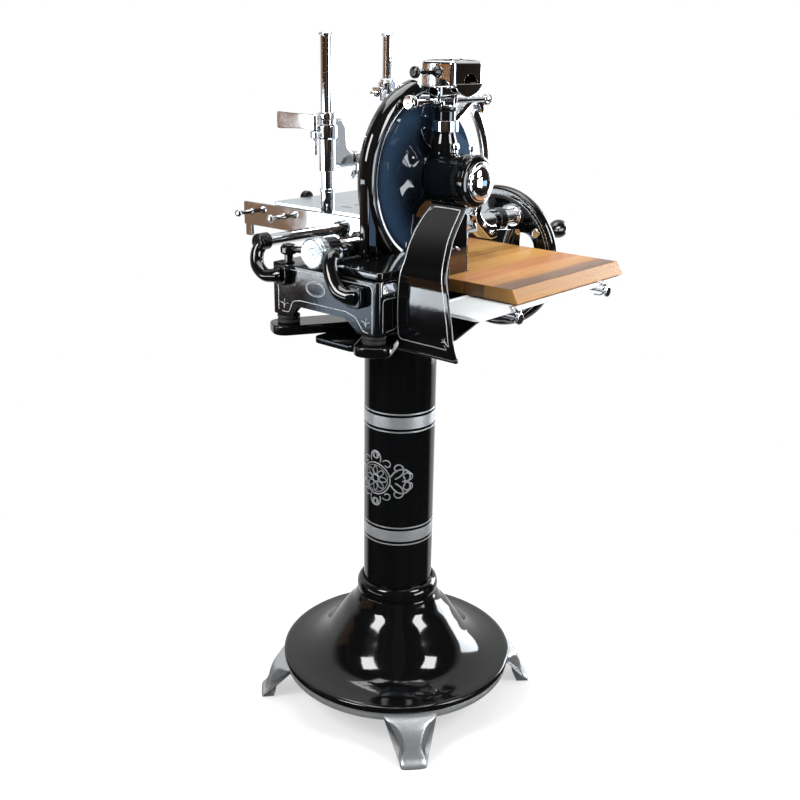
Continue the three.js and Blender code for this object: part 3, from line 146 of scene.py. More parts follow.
# Each pane has an azimuth, half its width in degrees, its low and high edge as the sine of the
# elevation, the distance at which it starts on the floor in metres, its tint and its strength
VIEW_AZIMUTH = 41.0
PANE_BLUR = 1.2
PANES = [
    (157, 22.5, -0.12, -0.065, 4.4, "eef4fa", 11.0),
    (309, 7.5, -0.12, -0.04, 5.0, "9cc4f0", 1.9),
    (349.5, 12.5, -0.12, 0.45, 2.6, "eef4fa", 13.0),
    (283, 13.0, -0.12, 0.13, 3.6, "eef4fa", 11.0),
    (144, 9.0, -0.055, 0.22, 40.0, "b97c48", 0.6),
    (125, 9.5, -0.2, 0.3, 3.4, "9a7a60", 0.75),
]
AMBIENT = 0.62
SWEEP = 0.8
world = bpy.data.worlds.new("studio")
bpy.context.scene.world = world
world.use_nodes = True
sky = world.node_tree
sky.nodes.clear()
ray = add_node(sky, "ShaderNodeLightPath")
ray_way = add_node(sky, "ShaderNodeTexCoord").outputs["Generated"]
rise = add_node(sky, "ShaderNodeSeparateXYZ", {0: ray_way}).outputs["Z"]
flat_way = add_node(sky, "ShaderNodeVectorMath", {0: ray_way, 1: (1, 1, 0)}, operation="MULTIPLY").outputs[0]
heading = add_node(sky, "ShaderNodeVectorMath", {0: flat_way}, operation="NORMALIZE").outputs[0]
light = room(sky, heading, heading, 4.0, (0.4, 0.68), ("161311", "5f4f45"), (0.2, 0.5))
for azimuth, half_angle, low_edge, high_edge, _, tint, strength in PANES:
    above = add_node(sky, "ShaderNodeMapRange", {
        "Value": rise, "From Min": low_edge - 0.01, "From Max": low_edge,
    }, interpolation_type="SMOOTHSTEP")
    below = add_node(sky, "ShaderNodeMapRange", {
        "Value": rise, "From Min": high_edge, "From Max": high_edge + 0.02, "To Min": 1.0, "To Max": 0.0,
    }, interpolation_type="SMOOTHSTEP")
    tall = add_node(sky, "ShaderNodeMath", {
        0: above.outputs["Result"], 1: below.outputs["Result"],
    }, operation="MULTIPLY").outputs[0]
    light = lit(sky, light, heading, azimuth, half_angle, tall, tint, strength)
mirrored = add_node(sky, "ShaderNodeMix", {
    0: ray.outputs["Is Glossy Ray"], 6: (AMBIENT, AMBIENT, AMBIENT, 1.0), 7: light,
}, data_type="RGBA")
seen = add_node(sky, "ShaderNodeMix", {
    0: ray.outputs["Is Camera Ray"], 6: mirrored.outputs[2], 7: (1, 1, 1, 1),
}, data_type="RGBA")
backdrop = add_node(sky, "ShaderNodeBackground", {"Color": seen.outputs[2], "Strength": 1.0})
add_node(sky, "ShaderNodeOutputWorld", {"Surface": backdrop.outputs[0]})


def soft_box(name, place, aim, width, height, power):
    """A rectangular lamp at one point that faces another, sizes in millimetres."""
    data = bpy.data.lights.new(name, "AREA")
    data.shape = "RECTANGLE"
    data.size = width / 1000
    data.size_y = height / 1000
    data.energy = power
    lamp = bpy.data.objects.new(name, data)
    bpy.context.collection.objects.link(lamp)
    eye = Vector(metres(place))
    away = eye - Vector(metres(aim))
    lamp.matrix_world = Matrix.Translation(eye) @ away.to_track_quat("Z", "Y").to_matrix().to_4x4()


MIDDLE = (60, 0, 800)
soft_box("left_box", (-2100, 300, 2300), MIDDLE, 900, 1200, 62)
soft_box("right_box", (400, -2300, 2300), MIDDLE, 900, 1200, 62)
soft_box("top_box", (300, 300, 3200), MIDDLE, 1800, 1800, 55)

# Floor
# A pale matt floor that runs into the white sweep. The camera sees it brightened to white away from
# the machine, and it keeps a soft shadow. Mirror rays see a dark floor with the panes' feet far out.
FLOOR_HALF = 12000
FLOOR_GLOW = 0.52
floor_paint = bpy.data.materials.new("studio_floor")
floor_paint.use_nodes = True
tree = floor_paint.node_tree
tree.nodes.clear()
ray = add_node(tree, "ShaderNodeLightPath")
place = add_node(tree, "ShaderNodeTexCoord").outputs["Object"]
away = add_node(tree, "ShaderNodeVectorMath", {
    0: place, 1: tuple(metres((0, 0, 0))),
}, operation="SUBTRACT").outputs[0]
reach = add_node(tree, "ShaderNodeVectorMath", {0: away}, operation="LENGTH").outputs["Value"]
heading = add_node(tree, "ShaderNodeVectorMath", {0: away}, operation="NORMALIZE").outputs[0]
light = room(tree, heading, away, 0.9, (0.42, 0.66), ("161413", "453b35"), (0.35, 0.6))
FLOOR_PANE = (139.5, 2.6, 0, 0, 3.3, "c8dcf0", 4.0)
for azimuth, half_angle, _, _, near, tint, strength in PANES + [FLOOR_PANE]:
    far_out = add_node(tree, "ShaderNodeMapRange", {
        "Value": reach, "From Min": near - 0.15, "From Max": near + 0.15,
    }, interpolation_type="SMOOTHSTEP").outputs["Result"]
    light = lit(tree, light, heading, azimuth, half_angle, far_out, tint, strength)
white = add_node(tree, "ShaderNodeMapRange", {
    "Value": reach, "From Min": 0.5, "From Max": 1.4, "To Min": FLOOR_GLOW, "To Max": 1.0,
}, interpolation_type="SMOOTHSTEP")
share = add_node(tree, "ShaderNodeMath", {
    0: ray.outputs["Is Camera Ray"], 1: white.outputs["Result"],
}, operation="MULTIPLY").outputs[0]
matt = add_node(tree, "ShaderNodeBsdfDiffuse", {"Color": colour("f4f4f4")})
glow = add_node(tree, "ShaderNodeEmission", {"Color": colour("ffffff"), "Strength": 1.0})
seen = add_node(tree, "ShaderNodeMixShader", {0: share, 1: matt.outputs[0], 2: glow.outputs[0]})
mirror_glow = add_node(tree, "ShaderNodeEmission", {"Color": light, "Strength": 1.0})
both = add_node(tree, "ShaderNodeMixShader", {
    0: ray.outputs["Is Glossy Ray"], 1: seen.outputs[0], 2: mirror_glow.outputs[0],
})
add_node(tree, "ShaderNodeOutputMaterial", {"Surface": both.outputs[0]})
floor_mesh = bpy.data.meshes.new("floor")
floor_corners = [(x * FLOOR_HALF, y * FLOOR_HALF, 0) for x, y in [(-1, -1), (1, -1), (1, 1), (-1, 1)]]
floor_mesh.from_pydata(metres(floor_corners).tolist(), [], [(0, 1, 2, 3)])
floor_mesh.materials.append(floor_paint)
floor = bpy.data.objects.new("floor", floor_mesh)
bpy.context.collection.objects.link(floor)

# Foot ring
# Cast iron ring with four bowed feet, sprayed with satin silver paint, on which the pedestal's bell
# stands. The ring is turned, and each foot is a loft that is thin at the shin and broad at the toe.
def fillet(corners, radius, closed=True, steps=5):
    """An outline whose corners are rounded: each arc touches both sides at the same distance from
    the corner, and no further along than 0.45 of the shorter side."""
    corners = np.asarray(corners, float)
    radius = np.broadcast_to(radius, len(corners))
    points = []
    for i, corner in enumerate(corners):
        if radius[i] <= 0 or (not closed and i in (0, len(corners) - 1)):
            points.append(corner[None])
            continue
        back = corners[i - 1] - corner
        ahead = corners[(i + 1) % len(corners)] - corner
        short = min(np.linalg.norm(back), np.linalg.norm(ahead))
        back = back / np.linalg.norm(back)
        ahead = ahead / np.linalg.norm(ahead)
        half = math.acos(np.clip(back @ ahead, -1, 1)) / 2
        if half > math.radians(88):
            points.append(corner[None])
            continue
        reach = min(radius[i] / math.tan(half), 0.45 * short)
        bisector = (back + ahead) / np.linalg.norm(back + ahead)
        centre = corner + bisector * reach / math.cos(half)
        a = corner + back * reach - centre
        b = corner + ahead * reach - centre
        swing = math.atan2(a[0] * b[1] - a[1] * b[0], a @ b)
        angle = np.linspace(0, swing, steps + 1)[:, None]
        points.append(centre + a * np.cos(angle) + np.array([-a[1], a[0]]) * np.sin(angle))
    return np.concatenate(points)


def arc(centre, radius, start, end, steps=24):
    """Points of a circle's arc about a centre, angles in degrees."""
    angle = np.radians(np.linspace(start, end, steps + 1))
    return np.column_stack([centre[0] + radius * np.cos(angle), centre[1] + radius * np.sin(angle)])


def curve(points, steps=8, closed=False):
    """A smooth line through points: each stretch is the cubic whose end slopes are half the step
    between its neighbours."""
    p = np.asarray(points, float)
    if closed:
        before, after, ends = np.roll(p, 1, 0), np.roll(p, -1, 0), np.roll(p, -2, 0)
        start = p
    else:
        start, after = p[:-1], p[1:]
        before = np.concatenate([2 * p[:1] - p[1:2], p[:-2]])
        ends = np.concatenate([p[2:], 2 * p[-1:] - p[-2:-1]])
    t = np.linspace(0, 1, steps, endpoint=False)[None, :, None]
    slope0 = ((after - before) / 2)[:, None]
    slope1 = ((ends - start) / 2)[:, None]
    a, b = start[:, None], after[:, None]
    line = (
        (2 * t**3 - 3 * t**2 + 1) * a + (t**3 - 2 * t**2 + t) * slope0
        + (3 * t**2 - 2 * t**3) * b + (t**3 - t**2) * slope1
    ).reshape(-1, p.shape[1])
    return line if closed else np.concatenate([line, p[-1:]])


def net(grid, wrap_u=False, wrap_v=False, caps=False):
    """A surface over a grid of points. Faces join each point to the next of its row and column,
    a wrapped direction joins its last points to its first, and caps close the first and last row."""
    rows, columns = grid.shape[:2]
    u = np.arange(rows if wrap_u else rows - 1)[:, None]
    v = np.arange(columns if wrap_v else columns - 1)[None]
    u1, v1 = (u + 1) % rows, (v + 1) % columns
    quads = np.stack([u * columns + v, u * columns + v1, u1 * columns + v1, u1 * columns + v], -1)
    faces = [tuple(q) for q in quads.reshape(-1, 4).tolist()]
    flat = [False] * len(faces)
    if caps:
        last = (rows - 1) * columns
        faces.append(tuple(range(columns))[::-1])
        faces.append(tuple(range(last, last + columns)))
        flat += [True, True]
    return grid.reshape(-1, 3), faces, flat


AXES = {
    "x": np.array([[0, 1, 0], [0, 0, 1], [1, 0, 0]]),
    "y": np.array([[0, 0, 1], [1, 0, 0], [0, 1, 0]]),
    "z": np.array([[1, 0, 0], [0, 1, 0], [0, 0, 1]]),
}


def turned(profile, centre=(0, 0, 0), axis="z", sides=96):
    """A profile of (radius, height) carried round an axis. A profile that starts and ends on the
    axis closes there, and one that doesn't is a closed ring."""
    profile = np.asarray(profile, float)
    ring = profile[0, 0] > 0
    area = np.sum(profile[:, 0] * np.roll(profile[:, 1], -1) - np.roll(profile[:, 0], -1) * profile[:, 1])
    if area < 0:
        profile = profile[::-1]
    angle = np.linspace(0, 2 * np.pi, sides, endpoint=False)
    r, h = profile[:, :1], profile[:, 1:]
    local = np.stack(np.broadcast_arrays(r * np.cos(angle), r * np.sin(angle), h), -1)
    return net(local @ AXES[axis] + centre, wrap_u=ring, wrap_v=True)


def lathe(corners, radii, centre=(0, 0, 0), axis="z", sides=96):
    """A turned shape whose profile has round corners, one radius each. It closes on the axis where
    its first corner lies there, and is a ring otherwise."""
    return turned(fillet(corners, radii, closed=corners[0][0] > 0), centre, axis, sides)


def knurled(profile, at_rim, teeth, depth):
    """Rings of a turned profile. In the rows at its rim the radius goes up and down in blunt waves
    round the axis, by the depth as a share of the radius."""
    angle = np.linspace(0, 2 * np.pi, teeth * 4, endpoint=False)
    wave = np.sin(angle * teeth)
    knurl = 1 + depth * np.sign(wave) * np.abs(wave) ** 0.5
    r = profile[:, :1] * np.where(at_rim[:, None], knurl, 1.0)
    return np.stack(np.broadcast_arrays(r * np.cos(angle), r * np.sin(angle), profile[:, 1:]), -1)


def unit(vectors):
    """Vectors at length one."""
    return vectors / np.maximum(np.linalg.norm(vectors, axis=-1, keepdims=True), 1e-9)


def swept(path, section, upright=(0, 0, 1), scale=1.0, ends=0):
    """A closed section carried along a path. Its first axis lies across the path and the upright
    direction, and its second nearest to upright. Round ends are rings that shrink as a quarter
    circle does, over the given length."""
    path = np.asarray(path, float)
    scale = np.broadcast_to(
        np.asarray(scale, float).reshape(-1, 1) if np.ndim(scale) == 1 else scale, (len(path), 2),
    ).copy()
    tangent = unit(np.gradient(path, axis=0))
    if ends:
        angle = np.radians([15, 35, 55, 75, 88])[:, None]
        first = path[0] - tangent[0] * ends * np.sin(angle)
        last = path[-1] + tangent[-1] * ends * np.sin(angle)
        path = np.concatenate([first[::-1], path, last])
        tangent = np.concatenate([np.repeat(tangent[:1], 5, 0), tangent, np.repeat(tangent[-1:], 5, 0)])
        scale = np.concatenate([scale[:1] * np.cos(angle[::-1]), scale, scale[-1:] * np.cos(angle)])
    across = unit(np.cross(tangent, upright))
    above = np.cross(across, tangent)
    section = np.asarray(section, float)
    u = section[None, :, :1] * scale[:, None, :1]
    v = section[None, :, 1:] * scale[:, None, 1:]
    grid = path[:, None] + u * across[:, None] + v * above[:, None]
    return net(grid[:, ::-1], wrap_v=True, caps=True)


def oval(width, height, sides=24):
    """A closed ellipse, the section of a round bar."""
    angle = np.linspace(0, 2 * np.pi, sides, endpoint=False)
    return np.column_stack([width / 2 * np.cos(angle), height / 2 * np.sin(angle)])


def box_outline(x0, x1, y0, y1, radius=0.0, steps=5):
    """A rectangle with round corners."""
    return fillet([(x0, y0), (x1, y0), (x1, y1), (x0, y1)], radius, steps=steps)


def inset(loop, distance):
    """An outline moved inwards along its mitred normals, seen with its inside on the left."""
    back = unit(loop - np.roll(loop, 1, 0))
    ahead = unit(np.roll(loop, -1, 0) - loop)
    n0 = np.column_stack([-back[:, 1], back[:, 0]])
    n1 = np.column_stack([-ahead[:, 1], ahead[:, 0]])
    share = np.maximum(1 + np.sum(n0 * n1, 1, keepdims=True), 0.35)
    return loop + (n0 + n1) / share * distance


def prism(loops, low, high, edge=0.8, axis="z", steps=3):
    """A plate between two heights with round edges: the first outline is its rim and the others are
    holes, drawn in X and Z where the plate is square to Y. Each outline steps inwards along a quarter
    circle near both faces."""
    loops = [np.asarray(loop, float) for loop in (loops if isinstance(loops, list) else [loops])]
    if axis == "y":
        loops = [loop[:, ::-1] for loop in loops]
    angle = np.radians(np.linspace(0, 90, steps + 1))
    into = np.concatenate([edge * (1 - np.sin(angle)), edge * (1 - np.sin(angle[::-1]))])
    rise = np.concatenate([low + edge * (1 - np.cos(angle)), high - edge * (1 - np.cos(angle[::-1]))])
    points, faces, flat, starts, total = [], [], [], [], 0
    for i, loop in enumerate(loops):
        x, y = loop.T
        area = np.sum(x * np.roll(y, -1) - np.roll(x, -1) * y)
        if (area > 0) == (i > 0):
            loop = loop[::-1]
        stack = np.stack([
            np.column_stack([inset(loop, d), np.full(len(loop), z)]) for d, z in zip(into, rise)
        ])
        some, quads, _ = net(stack, wrap_v=True)
        starts.append((total, len(loop)))
        points.append(some)
        faces += [tuple(total + k for k in q) for q in quads]
        flat += [False] * len(quads)
        total += len(some)
    everything = np.concatenate(points)
    for last in (False, True):
        rings = [s + (2 * steps + 1) * n * last + np.arange(n) for s, n in starts]
        index = np.concatenate(rings)
        triangles = tessellate_polygon([[Vector(p) for p in everything[r]] for r in rings])
        for a, b, c in triangles:
            pa, pb, pc = everything[index[[a, b, c]]][:, :2]
            upward = (pb[0] - pa[0]) * (pc[1] - pa[1]) - (pb[1] - pa[1]) * (pc[0] - pa[0]) > 0
            face = (a, b, c) if upward == last else (a, c, b)
            faces.append(tuple(int(index[k]) for k in face))
            flat.append(True)
    return everything @ AXES[axis], faces, flat


def piece(name, shells, material, body, nodes=(), level=True):
    """Makes one object of closed shells, gives it its material and place, and lets it ride. Its
    normals are weighted so that flat faces stay flat beside round edges, unless level is off."""
    points, faces, flat, total = [], [], [], 0
    for some_points, some_faces, some_flat in shells:
        points.append(some_points)
        faces += [tuple(total + k for k in face) for face in some_faces]
        flat += some_flat
        total += len(some_points)
    mesh = bpy.data.meshes.new(name)
    mesh.from_pydata(metres(np.concatenate(points)).tolist(), [], faces)
    mesh.polygons.foreach_set("use_smooth", [not f for f in flat])
    made = bpy.data.objects.new(name, mesh)
    bpy.context.collection.objects.link(made)
    mesh.materials.append(material)
    weld = made.modifiers.new("weld", "WELD")
    weld.merge_threshold = 1e-6
    if level:
        normals = made.modifiers.new("normals", "WEIGHTED_NORMAL")
        normals.keep_sharp = True
    if nodes:
        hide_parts(*nodes)
    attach(made, body)
    return made


def new_material(name, base, metallic, roughness, ior=None):
    """A material with one Principled shader, its even values set on the shader's own sockets, and
    the object's coordinates in metres. Returns the material, its tree, the shader and the place."""
    made = bpy.data.materials.new(name)
    made.use_nodes = True
    tree = made.node_tree
    shader = tree.nodes["Principled BSDF"]
    shader.inputs["Base Color"].default_value = colour(base)
    shader.inputs["Metallic"].default_value = metallic
    shader.inputs["Roughness"].default_value = roughness
    if ior:
        shader.inputs["IOR"].default_value = ior
    place = add_node(tree, "ShaderNodeTexCoord").outputs["Object"]
    return made, tree, shader, place


def grain(tree, place, size, stretch=(1, 1, 1), detail=3.0, rough=0.55):
    """Cloudy noise whose lumps are about size millimetres across, drawn out along an axis whose
    stretch is above one. Returns its value, from 0 to 1."""
    scale = tuple(1000 / (size * s) for s in stretch)
    mapped = add_node(tree, "ShaderNodeMapping", {"Vector": place, "Scale": scale})
    noise = add_node(tree, "ShaderNodeTexNoise", {
        "Vector": mapped.outputs[0], "Scale": 1.0, "Detail": detail, "Roughness": rough,
    })
    return noise.outputs["Fac"]


def dress(tree, shader, shade=None, shades=(), dull=None, roughness=(), relief=None, depth=0.0):
    """Feeds a shader with patterns of values from 0 to 1. One mixes two hex shades, one carries the
    roughness between two values, and one raises the surface by up to a depth in millimetres."""
    if shade:
        mixed = add_node(tree, "ShaderNodeMix", {
            0: shade, 6: colour(shades[0]), 7: colour(shades[1]),
        }, data_type="RGBA")
        tree.links.new(mixed.outputs[2], shader.inputs["Base Color"])
    if dull:
        carried = add_node(tree, "ShaderNodeMapRange", {
            "Value": dull, "From Min": NOISE_LOW, "From Max": NOISE_HIGH,
            "To Min": roughness[0], "To Max": roughness[1],
        })
        tree.links.new(carried.outputs["Result"], shader.inputs["Roughness"])
    if relief:
        raised = add_node(tree, "ShaderNodeBump", {
            "Height": relief, "Distance": depth / 1000, "Strength": 1.0,
        })
        tree.links.new(raised.outputs[0], shader.inputs["Normal"])


# Noise rarely leaves the middle of its range, so these two values stand for its ends
NOISE_LOW, NOISE_HIGH = 0.3, 0.7

# Aluminium flake paint, sprayed over a sand casting: a soft silver sheen with a faint cast texture
silver_paint, tree, shader, place = new_material("silver_flake_paint", "b2b5b8", 0.75, 0.38)
flake = grain(tree, place, 1.6, detail=2)
cast_skin = grain(tree, place, 5.0, detail=4)
glitter = add_node(tree, "ShaderNodeMapRange", {
    "Value": flake, "From Min": NOISE_LOW, "From Max": NOISE_HIGH,
})
dress(tree, shader, glitter.outputs["Result"], ("a6a9ac", "bfc2c4"), cast_skin, (0.3, 0.46), cast_skin, 0.35)

BELL_BOTTOM = 89.0
CLEAR = 0.3
FOOT_COUNT = 4
FOOT_TURN = 48.4
FOOT_ROOT = 214.0
FOOT_EDGE = 5.0
RING_TOP = BELL_BOTTOM - CLEAR
foot_back = curve([
    (FOOT_ROOT, RING_TOP), (236, 82), (251, 74), (262, 62), (269, 46), (273, 30), (278, 17), (286, 9),
    (288, 4),
], 5)
foot_front = curve([(262, 0), (258, 10), (255, 30), (250, 47), (239, 57), (FOOT_ROOT, 64)], 6)
foot_outline = np.concatenate([foot_back, [(288, 0)], foot_front])
way = foot_outline[:, 0] - FOOT_ROOT + RING_TOP - foot_outline[:, 1]
width_at = curve([
    (0, 110), (30, 99), (50, 66), (70, 48), (90, 38), (112, 35), (125, 41), (136, 49), (162, 51),
], 6)
foot_width = np.interp(way, width_at[:, 0], width_at[:, 1])


def foot(turn_degrees):
    """A bowed foot: the side outline steps inwards towards both flanks as a softened square does,
    and each of its points is as far from the middle plane as half the width there."""
    angle = np.radians(np.linspace(-90, 90, 19))[:, None]
    side = np.sign(np.sin(angle)) * np.abs(np.sin(angle)) ** 0.55
    into = FOOT_EDGE * (1 - np.cos(angle) ** 0.55)
    loops = np.stack([inset(foot_outline[::-1], d) for d in into[:, 0]])
    r, z = loops[..., 0], np.maximum(loops[..., 1], 0.0)
    y = side * foot_width[::-1] / 2
    c, s = math.cos(math.radians(turn_degrees)), math.sin(math.radians(turn_degrees))
    grid = np.stack([r * c - y * s, r * s + y * c, z], -1)
    return net(grid[:, ::-1], wrap_v=True, caps=True)


ring_profile = fillet([
    (205, 68.7), (227, 68.7), (233, 72.7), (235, 80.7), (234, RING_TOP), (205, RING_TOP),
], [1, 3, 4, 4, 1.5, 1])
ring_and_feet = [turned(ring_profile, sides=160)]
ring_and_feet += [foot(FOOT_TURN + i * 360 / FOOT_COUNT) for i in range(FOOT_COUNT)]
piece("foot_ring_casting", ring_and_feet, silver_paint, "stand", ["foot_ring"])

# Pedestal bell
# Cast iron, filled, rubbed down and stoved in black enamel, with three small plugs over the screws
# that hold the foot ring. The bell is one turned shell with a socket for the column.

# Stove enamel over filled iron: nearly black and glassy, with patches that mirror a little less
# sharply and the slight waves that brushing leaves
black_enamel, tree, shader, place = new_material("black_stove_enamel", "070809", 0.0, 0.07, 1.52)
peel = grain(tree, place, 9.0, detail=2)
haze = grain(tree, place, 60.0, detail=4)
dress(tree, shader, dull=haze, roughness=(0.045, 0.11), relief=peel, depth=0.05)

BELL_RIM = 238.0
BELL_RIM_TOP = 104.0
COLLAR_TOP = 268.0
COLUMN_RADIUS = 70.0
COLUMN_WALL = 5.0
COLUMN_SEAT = 236.0
flare = curve([
    (BELL_RIM - 6, BELL_RIM_TOP), (205, 108), (176, 118), (150, 138), (128, 168), (108, 197), (92, 215),
    (84, 231), (81, 239), (83, 247), (82.5, 256), (79, 264), (74, COLLAR_TOP),
], 8)
inside = curve([
    (72, 226), (86, 206), (100, 190), (121, 158), (143, 130), (170, 109), (202, 99), (BELL_RIM - 12, 96.5),
], 6)
rim = fillet([
    (BELL_RIM - 10, BELL_BOTTOM), (BELL_RIM - 1, BELL_BOTTOM), (BELL_RIM, 95), (BELL_RIM - 0.5, 101),
    (BELL_RIM - 6, BELL_RIM_TOP),
], 4, closed=False)
socket_edge = [
    (COLUMN_RADIUS + CLEAR, COLLAR_TOP), (COLUMN_RADIUS + CLEAR, COLUMN_SEAT),
    (COLUMN_RADIUS - 10, COLUMN_SEAT), (COLUMN_RADIUS - 10, COLUMN_SEAT - 8),
]
bell_profile = np.concatenate([rim[:-1], flare, socket_edge, inside])
piece(
    "pedestal_bell_casting", [turned(bell_profile, sides=192)], black_enamel, "stand",
    ["pedestal_bell"],
)

PLUG_RADIUS = 9.0
# The flare's radius falls over its first 64 points, so that its height can be read from it there
falling = flare[:64]
for i, (plug_x, plug_y) in enumerate([(11, 179), (182, 0), (-94, -176)]):
    reach = math.hypot(plug_x, plug_y)
    plug_z = np.interp(-reach, -falling[:, 0], falling[:, 1])
    slope = (np.interp(-reach + 6, -falling[:, 0], falling[:, 1]) - plug_z) / 6
    crown = [(0, 0), (PLUG_RADIUS, 0), (PLUG_RADIUS, 0.6), (PLUG_RADIUS - 1.5, 1.4), (0, 1.6)]
    points, faces, flat = lathe(crown, [0, 0, 0.4, 0.8, 0], sides=32)
    lean = -slope
    out = np.array([plug_x, plug_y]) / reach
    tilt = np.column_stack([points[:, :2], points[:, 2:] + (points[:, :2] @ out)[:, None] * lean])
    piece(
        f"bell_plug_{i + 1}", [(tilt + (plug_x, plug_y, plug_z - 0.4), faces, flat)], black_enamel,
        "stand",
    )

# Column
# A steel tube stoved black, with two painted silver bands between fine lines, and a scroll ornament
# between them on the operator's left. The bands are thin raised rings of paint.
COLUMN_TOP = 784.0
inner = COLUMN_RADIUS - COLUMN_WALL
foot_z = COLUMN_SEAT + CLEAR
column_profile = fillet([
    (inner, foot_z), (COLUMN_RADIUS, foot_z), (COLUMN_RADIUS, COLUMN_TOP), (inner, COLUMN_TOP),
], 0.6, steps=3)
piece("column_tube", [turned(column_profile, sides=160)], black_enamel, "stand", ["column"])

BAND_PAINT = 0.25
BAND_WIDE = 22.8
BAND_LINE = 2.8
BAND_GAP = 5.2


def band(low, high):
    """A ring of paint round the column between two heights."""
    r0, r1 = COLUMN_RADIUS - 0.2, COLUMN_RADIUS + BAND_PAINT
    return turned(
        fillet([(r0, low), (r1, low), (r1, high), (r0, high)], [0, 0.2, 0.2, 0], steps=2), sides=160,
    )


bands = []
for middle in (623.1, 384.7):
    wide = BAND_WIDE / 2
    bands.append(band(middle - wide, middle + wide))
    for side in (-1, 1):
        line_middle = middle + side * (wide + BAND_GAP + BAND_LINE / 2)
        bands.append(band(line_middle - BAND_LINE / 2, line_middle + BAND_LINE / 2))
piece("column_bands", bands, silver_paint, "stand")


def brush_line(points, out, width, height=0.5):
    """A line of paint: a lens-shaped section, width across and half its height above the surface,
    carried along the points with its crown facing out."""
    angle = np.linspace(0, 2 * np.pi, 10, endpoint=False)
    section = np.column_stack([width / 2 * np.cos(angle), height / 2 * np.sin(angle)])
    return swept(points, section, upright=out)


def on_column(path):
    """Points of (way round, height) on the column's left face, wrapped round it."""
    angle = math.pi + path[:, 0] / COLUMN_RADIUS
    out = np.column_stack([np.cos(angle), np.sin(angle), np.zeros(len(path))])
    return out * COLUMN_RADIUS + np.column_stack([np.zeros((len(path), 2)), path[:, 1]]), out


def scroll(start, heading, length, bend, tighten, steps=70):
    """A scroll: a line that starts at a point with a heading in degrees and turns by bend degrees
    per millimetre, growing by the power tighten towards its end."""
    way = np.linspace(0, 1, steps)
    turn = np.radians(heading) + np.radians(bend) * length * way ** tighten
    step = length / (steps - 1)
    xy = np.cumsum(np.column_stack([np.cos(turn), np.sin(turn)]) * step, 0)
    return np.asarray(start) + xy - xy[0]


# The ornament is a round rosette between two branches of leaf scrolls, the same four ways
ORNAMENT_MIDDLE = 503.6
ORNAMENT_SCALE = 1.42
ornament_lines = []
quarter = [
    (scroll((24, 6), 62, 52, -4.6, 1.5), 2.2),
    (scroll((30, 3), 28, 46, 7.0, 1.9), 1.8),
    (scroll((40, 0), 8, 36, -9.6, 1.5), 1.8),
    (scroll((8, 25), 78, 40, 8.4, 1.7), 1.9),
    (scroll((12, 27), 40, 26, -11.0, 1.4), 1.5),
    (scroll((3, 31), 88, 22, 13.5, 1.8), 1.4),
    (scroll((46, 14), -8, 20, -9.0, 1.6), 1.4),
]
for line, width in quarter:
    for flip_x in (-1, 1):
        for flip_z in (-1, 1):
            path, out = on_column(line * ORNAMENT_SCALE * (flip_x, flip_z) + (0, ORNAMENT_MIDDLE))
            ornament_lines.append(brush_line(path, out, width * ORNAMENT_SCALE))
circle = np.linspace(0, 2 * np.pi, 73)
for radius, width in [(23.0, 1.8), (19.5, 0.9), (5.0, 1.6)]:
    ring = radius * ORNAMENT_SCALE * np.column_stack([np.cos(circle), np.sin(circle)])
    path, out = on_column(ring + (0, ORNAMENT_MIDDLE))
    ornament_lines.append(brush_line(path, out, width * ORNAMENT_SCALE))
for petal in range(8):
    t = np.linspace(-1, 1, 33)
    along = 12.0 + 5.6 * np.cos(np.pi * t)
    across = 3.4 * np.sin(np.pi * t)
    angle = np.radians(petal * 45)
    loop = ORNAMENT_SCALE * np.column_stack([
        along * np.cos(angle) - across * np.sin(angle), along * np.sin(angle) + across * np.cos(angle),
    ])
    path, out = on_column(loop + (0, ORNAMENT_MIDDLE))
    ornament_lines.append(brush_line(path, out, 1.8))
piece("column_ornament", ornament_lines, silver_paint, "stand")

# Column head
# A cast cross of two flat arms on a bar and a turned collar, stoved black. The arms' ends carry the
# rubber rests of the machine's base.
ARM_TOP = 822.0
ARM_THICK = 18.0
ARM_WIDTH = 66.0
PAD_X = 190.0
PAD_FRONT = -104.0
PAD_BACK = 109.0
arm_bottom = ARM_TOP - ARM_THICK


def flat_arm(x0, y0, x1, y1, width, low, high, corner=24.0):
    """A flat bar between two points, rounded at its ends, half its width past each point."""
    way = np.array([x1 - x0, y1 - y0])
    length = np.linalg.norm(way)
    u = way / length
    v = np.array([-u[1], u[0]])
    flat = box_outline(-width / 2, length + width / 2, -width / 2, width / 2, corner)
    return prism(np.array([x0, y0]) + flat[:, :1] * u + flat[:, 1:] * v, low, high, 3.0)


head = [
    flat_arm(-PAD_X, PAD_FRONT, PAD_X, PAD_BACK, ARM_WIDTH, arm_bottom, ARM_TOP),
    flat_arm(-PAD_X, PAD_BACK, PAD_X, PAD_FRONT, ARM_WIDTH, arm_bottom, ARM_TOP),
    prism(box_outline(-186, 186, -52, 52, 14), arm_bottom - 11, arm_bottom + 1, 2.5),
    lathe([
        (0, 744), (64, 744), (64, COLUMN_TOP + CLEAR), (82, COLUMN_TOP + CLEAR), (82, arm_bottom + 1),
        (0, arm_bottom + 1),
    ], [0, 2, 0, 2, 0, 0]),
]
piece("column_head_casting", head, black_enamel, "stand", ["column_head"])

# Rests
# Three blocks of moulded rubber under the base's corners, with a chamfered waist. They stand loose on
# the column head's arms and carry the machine.

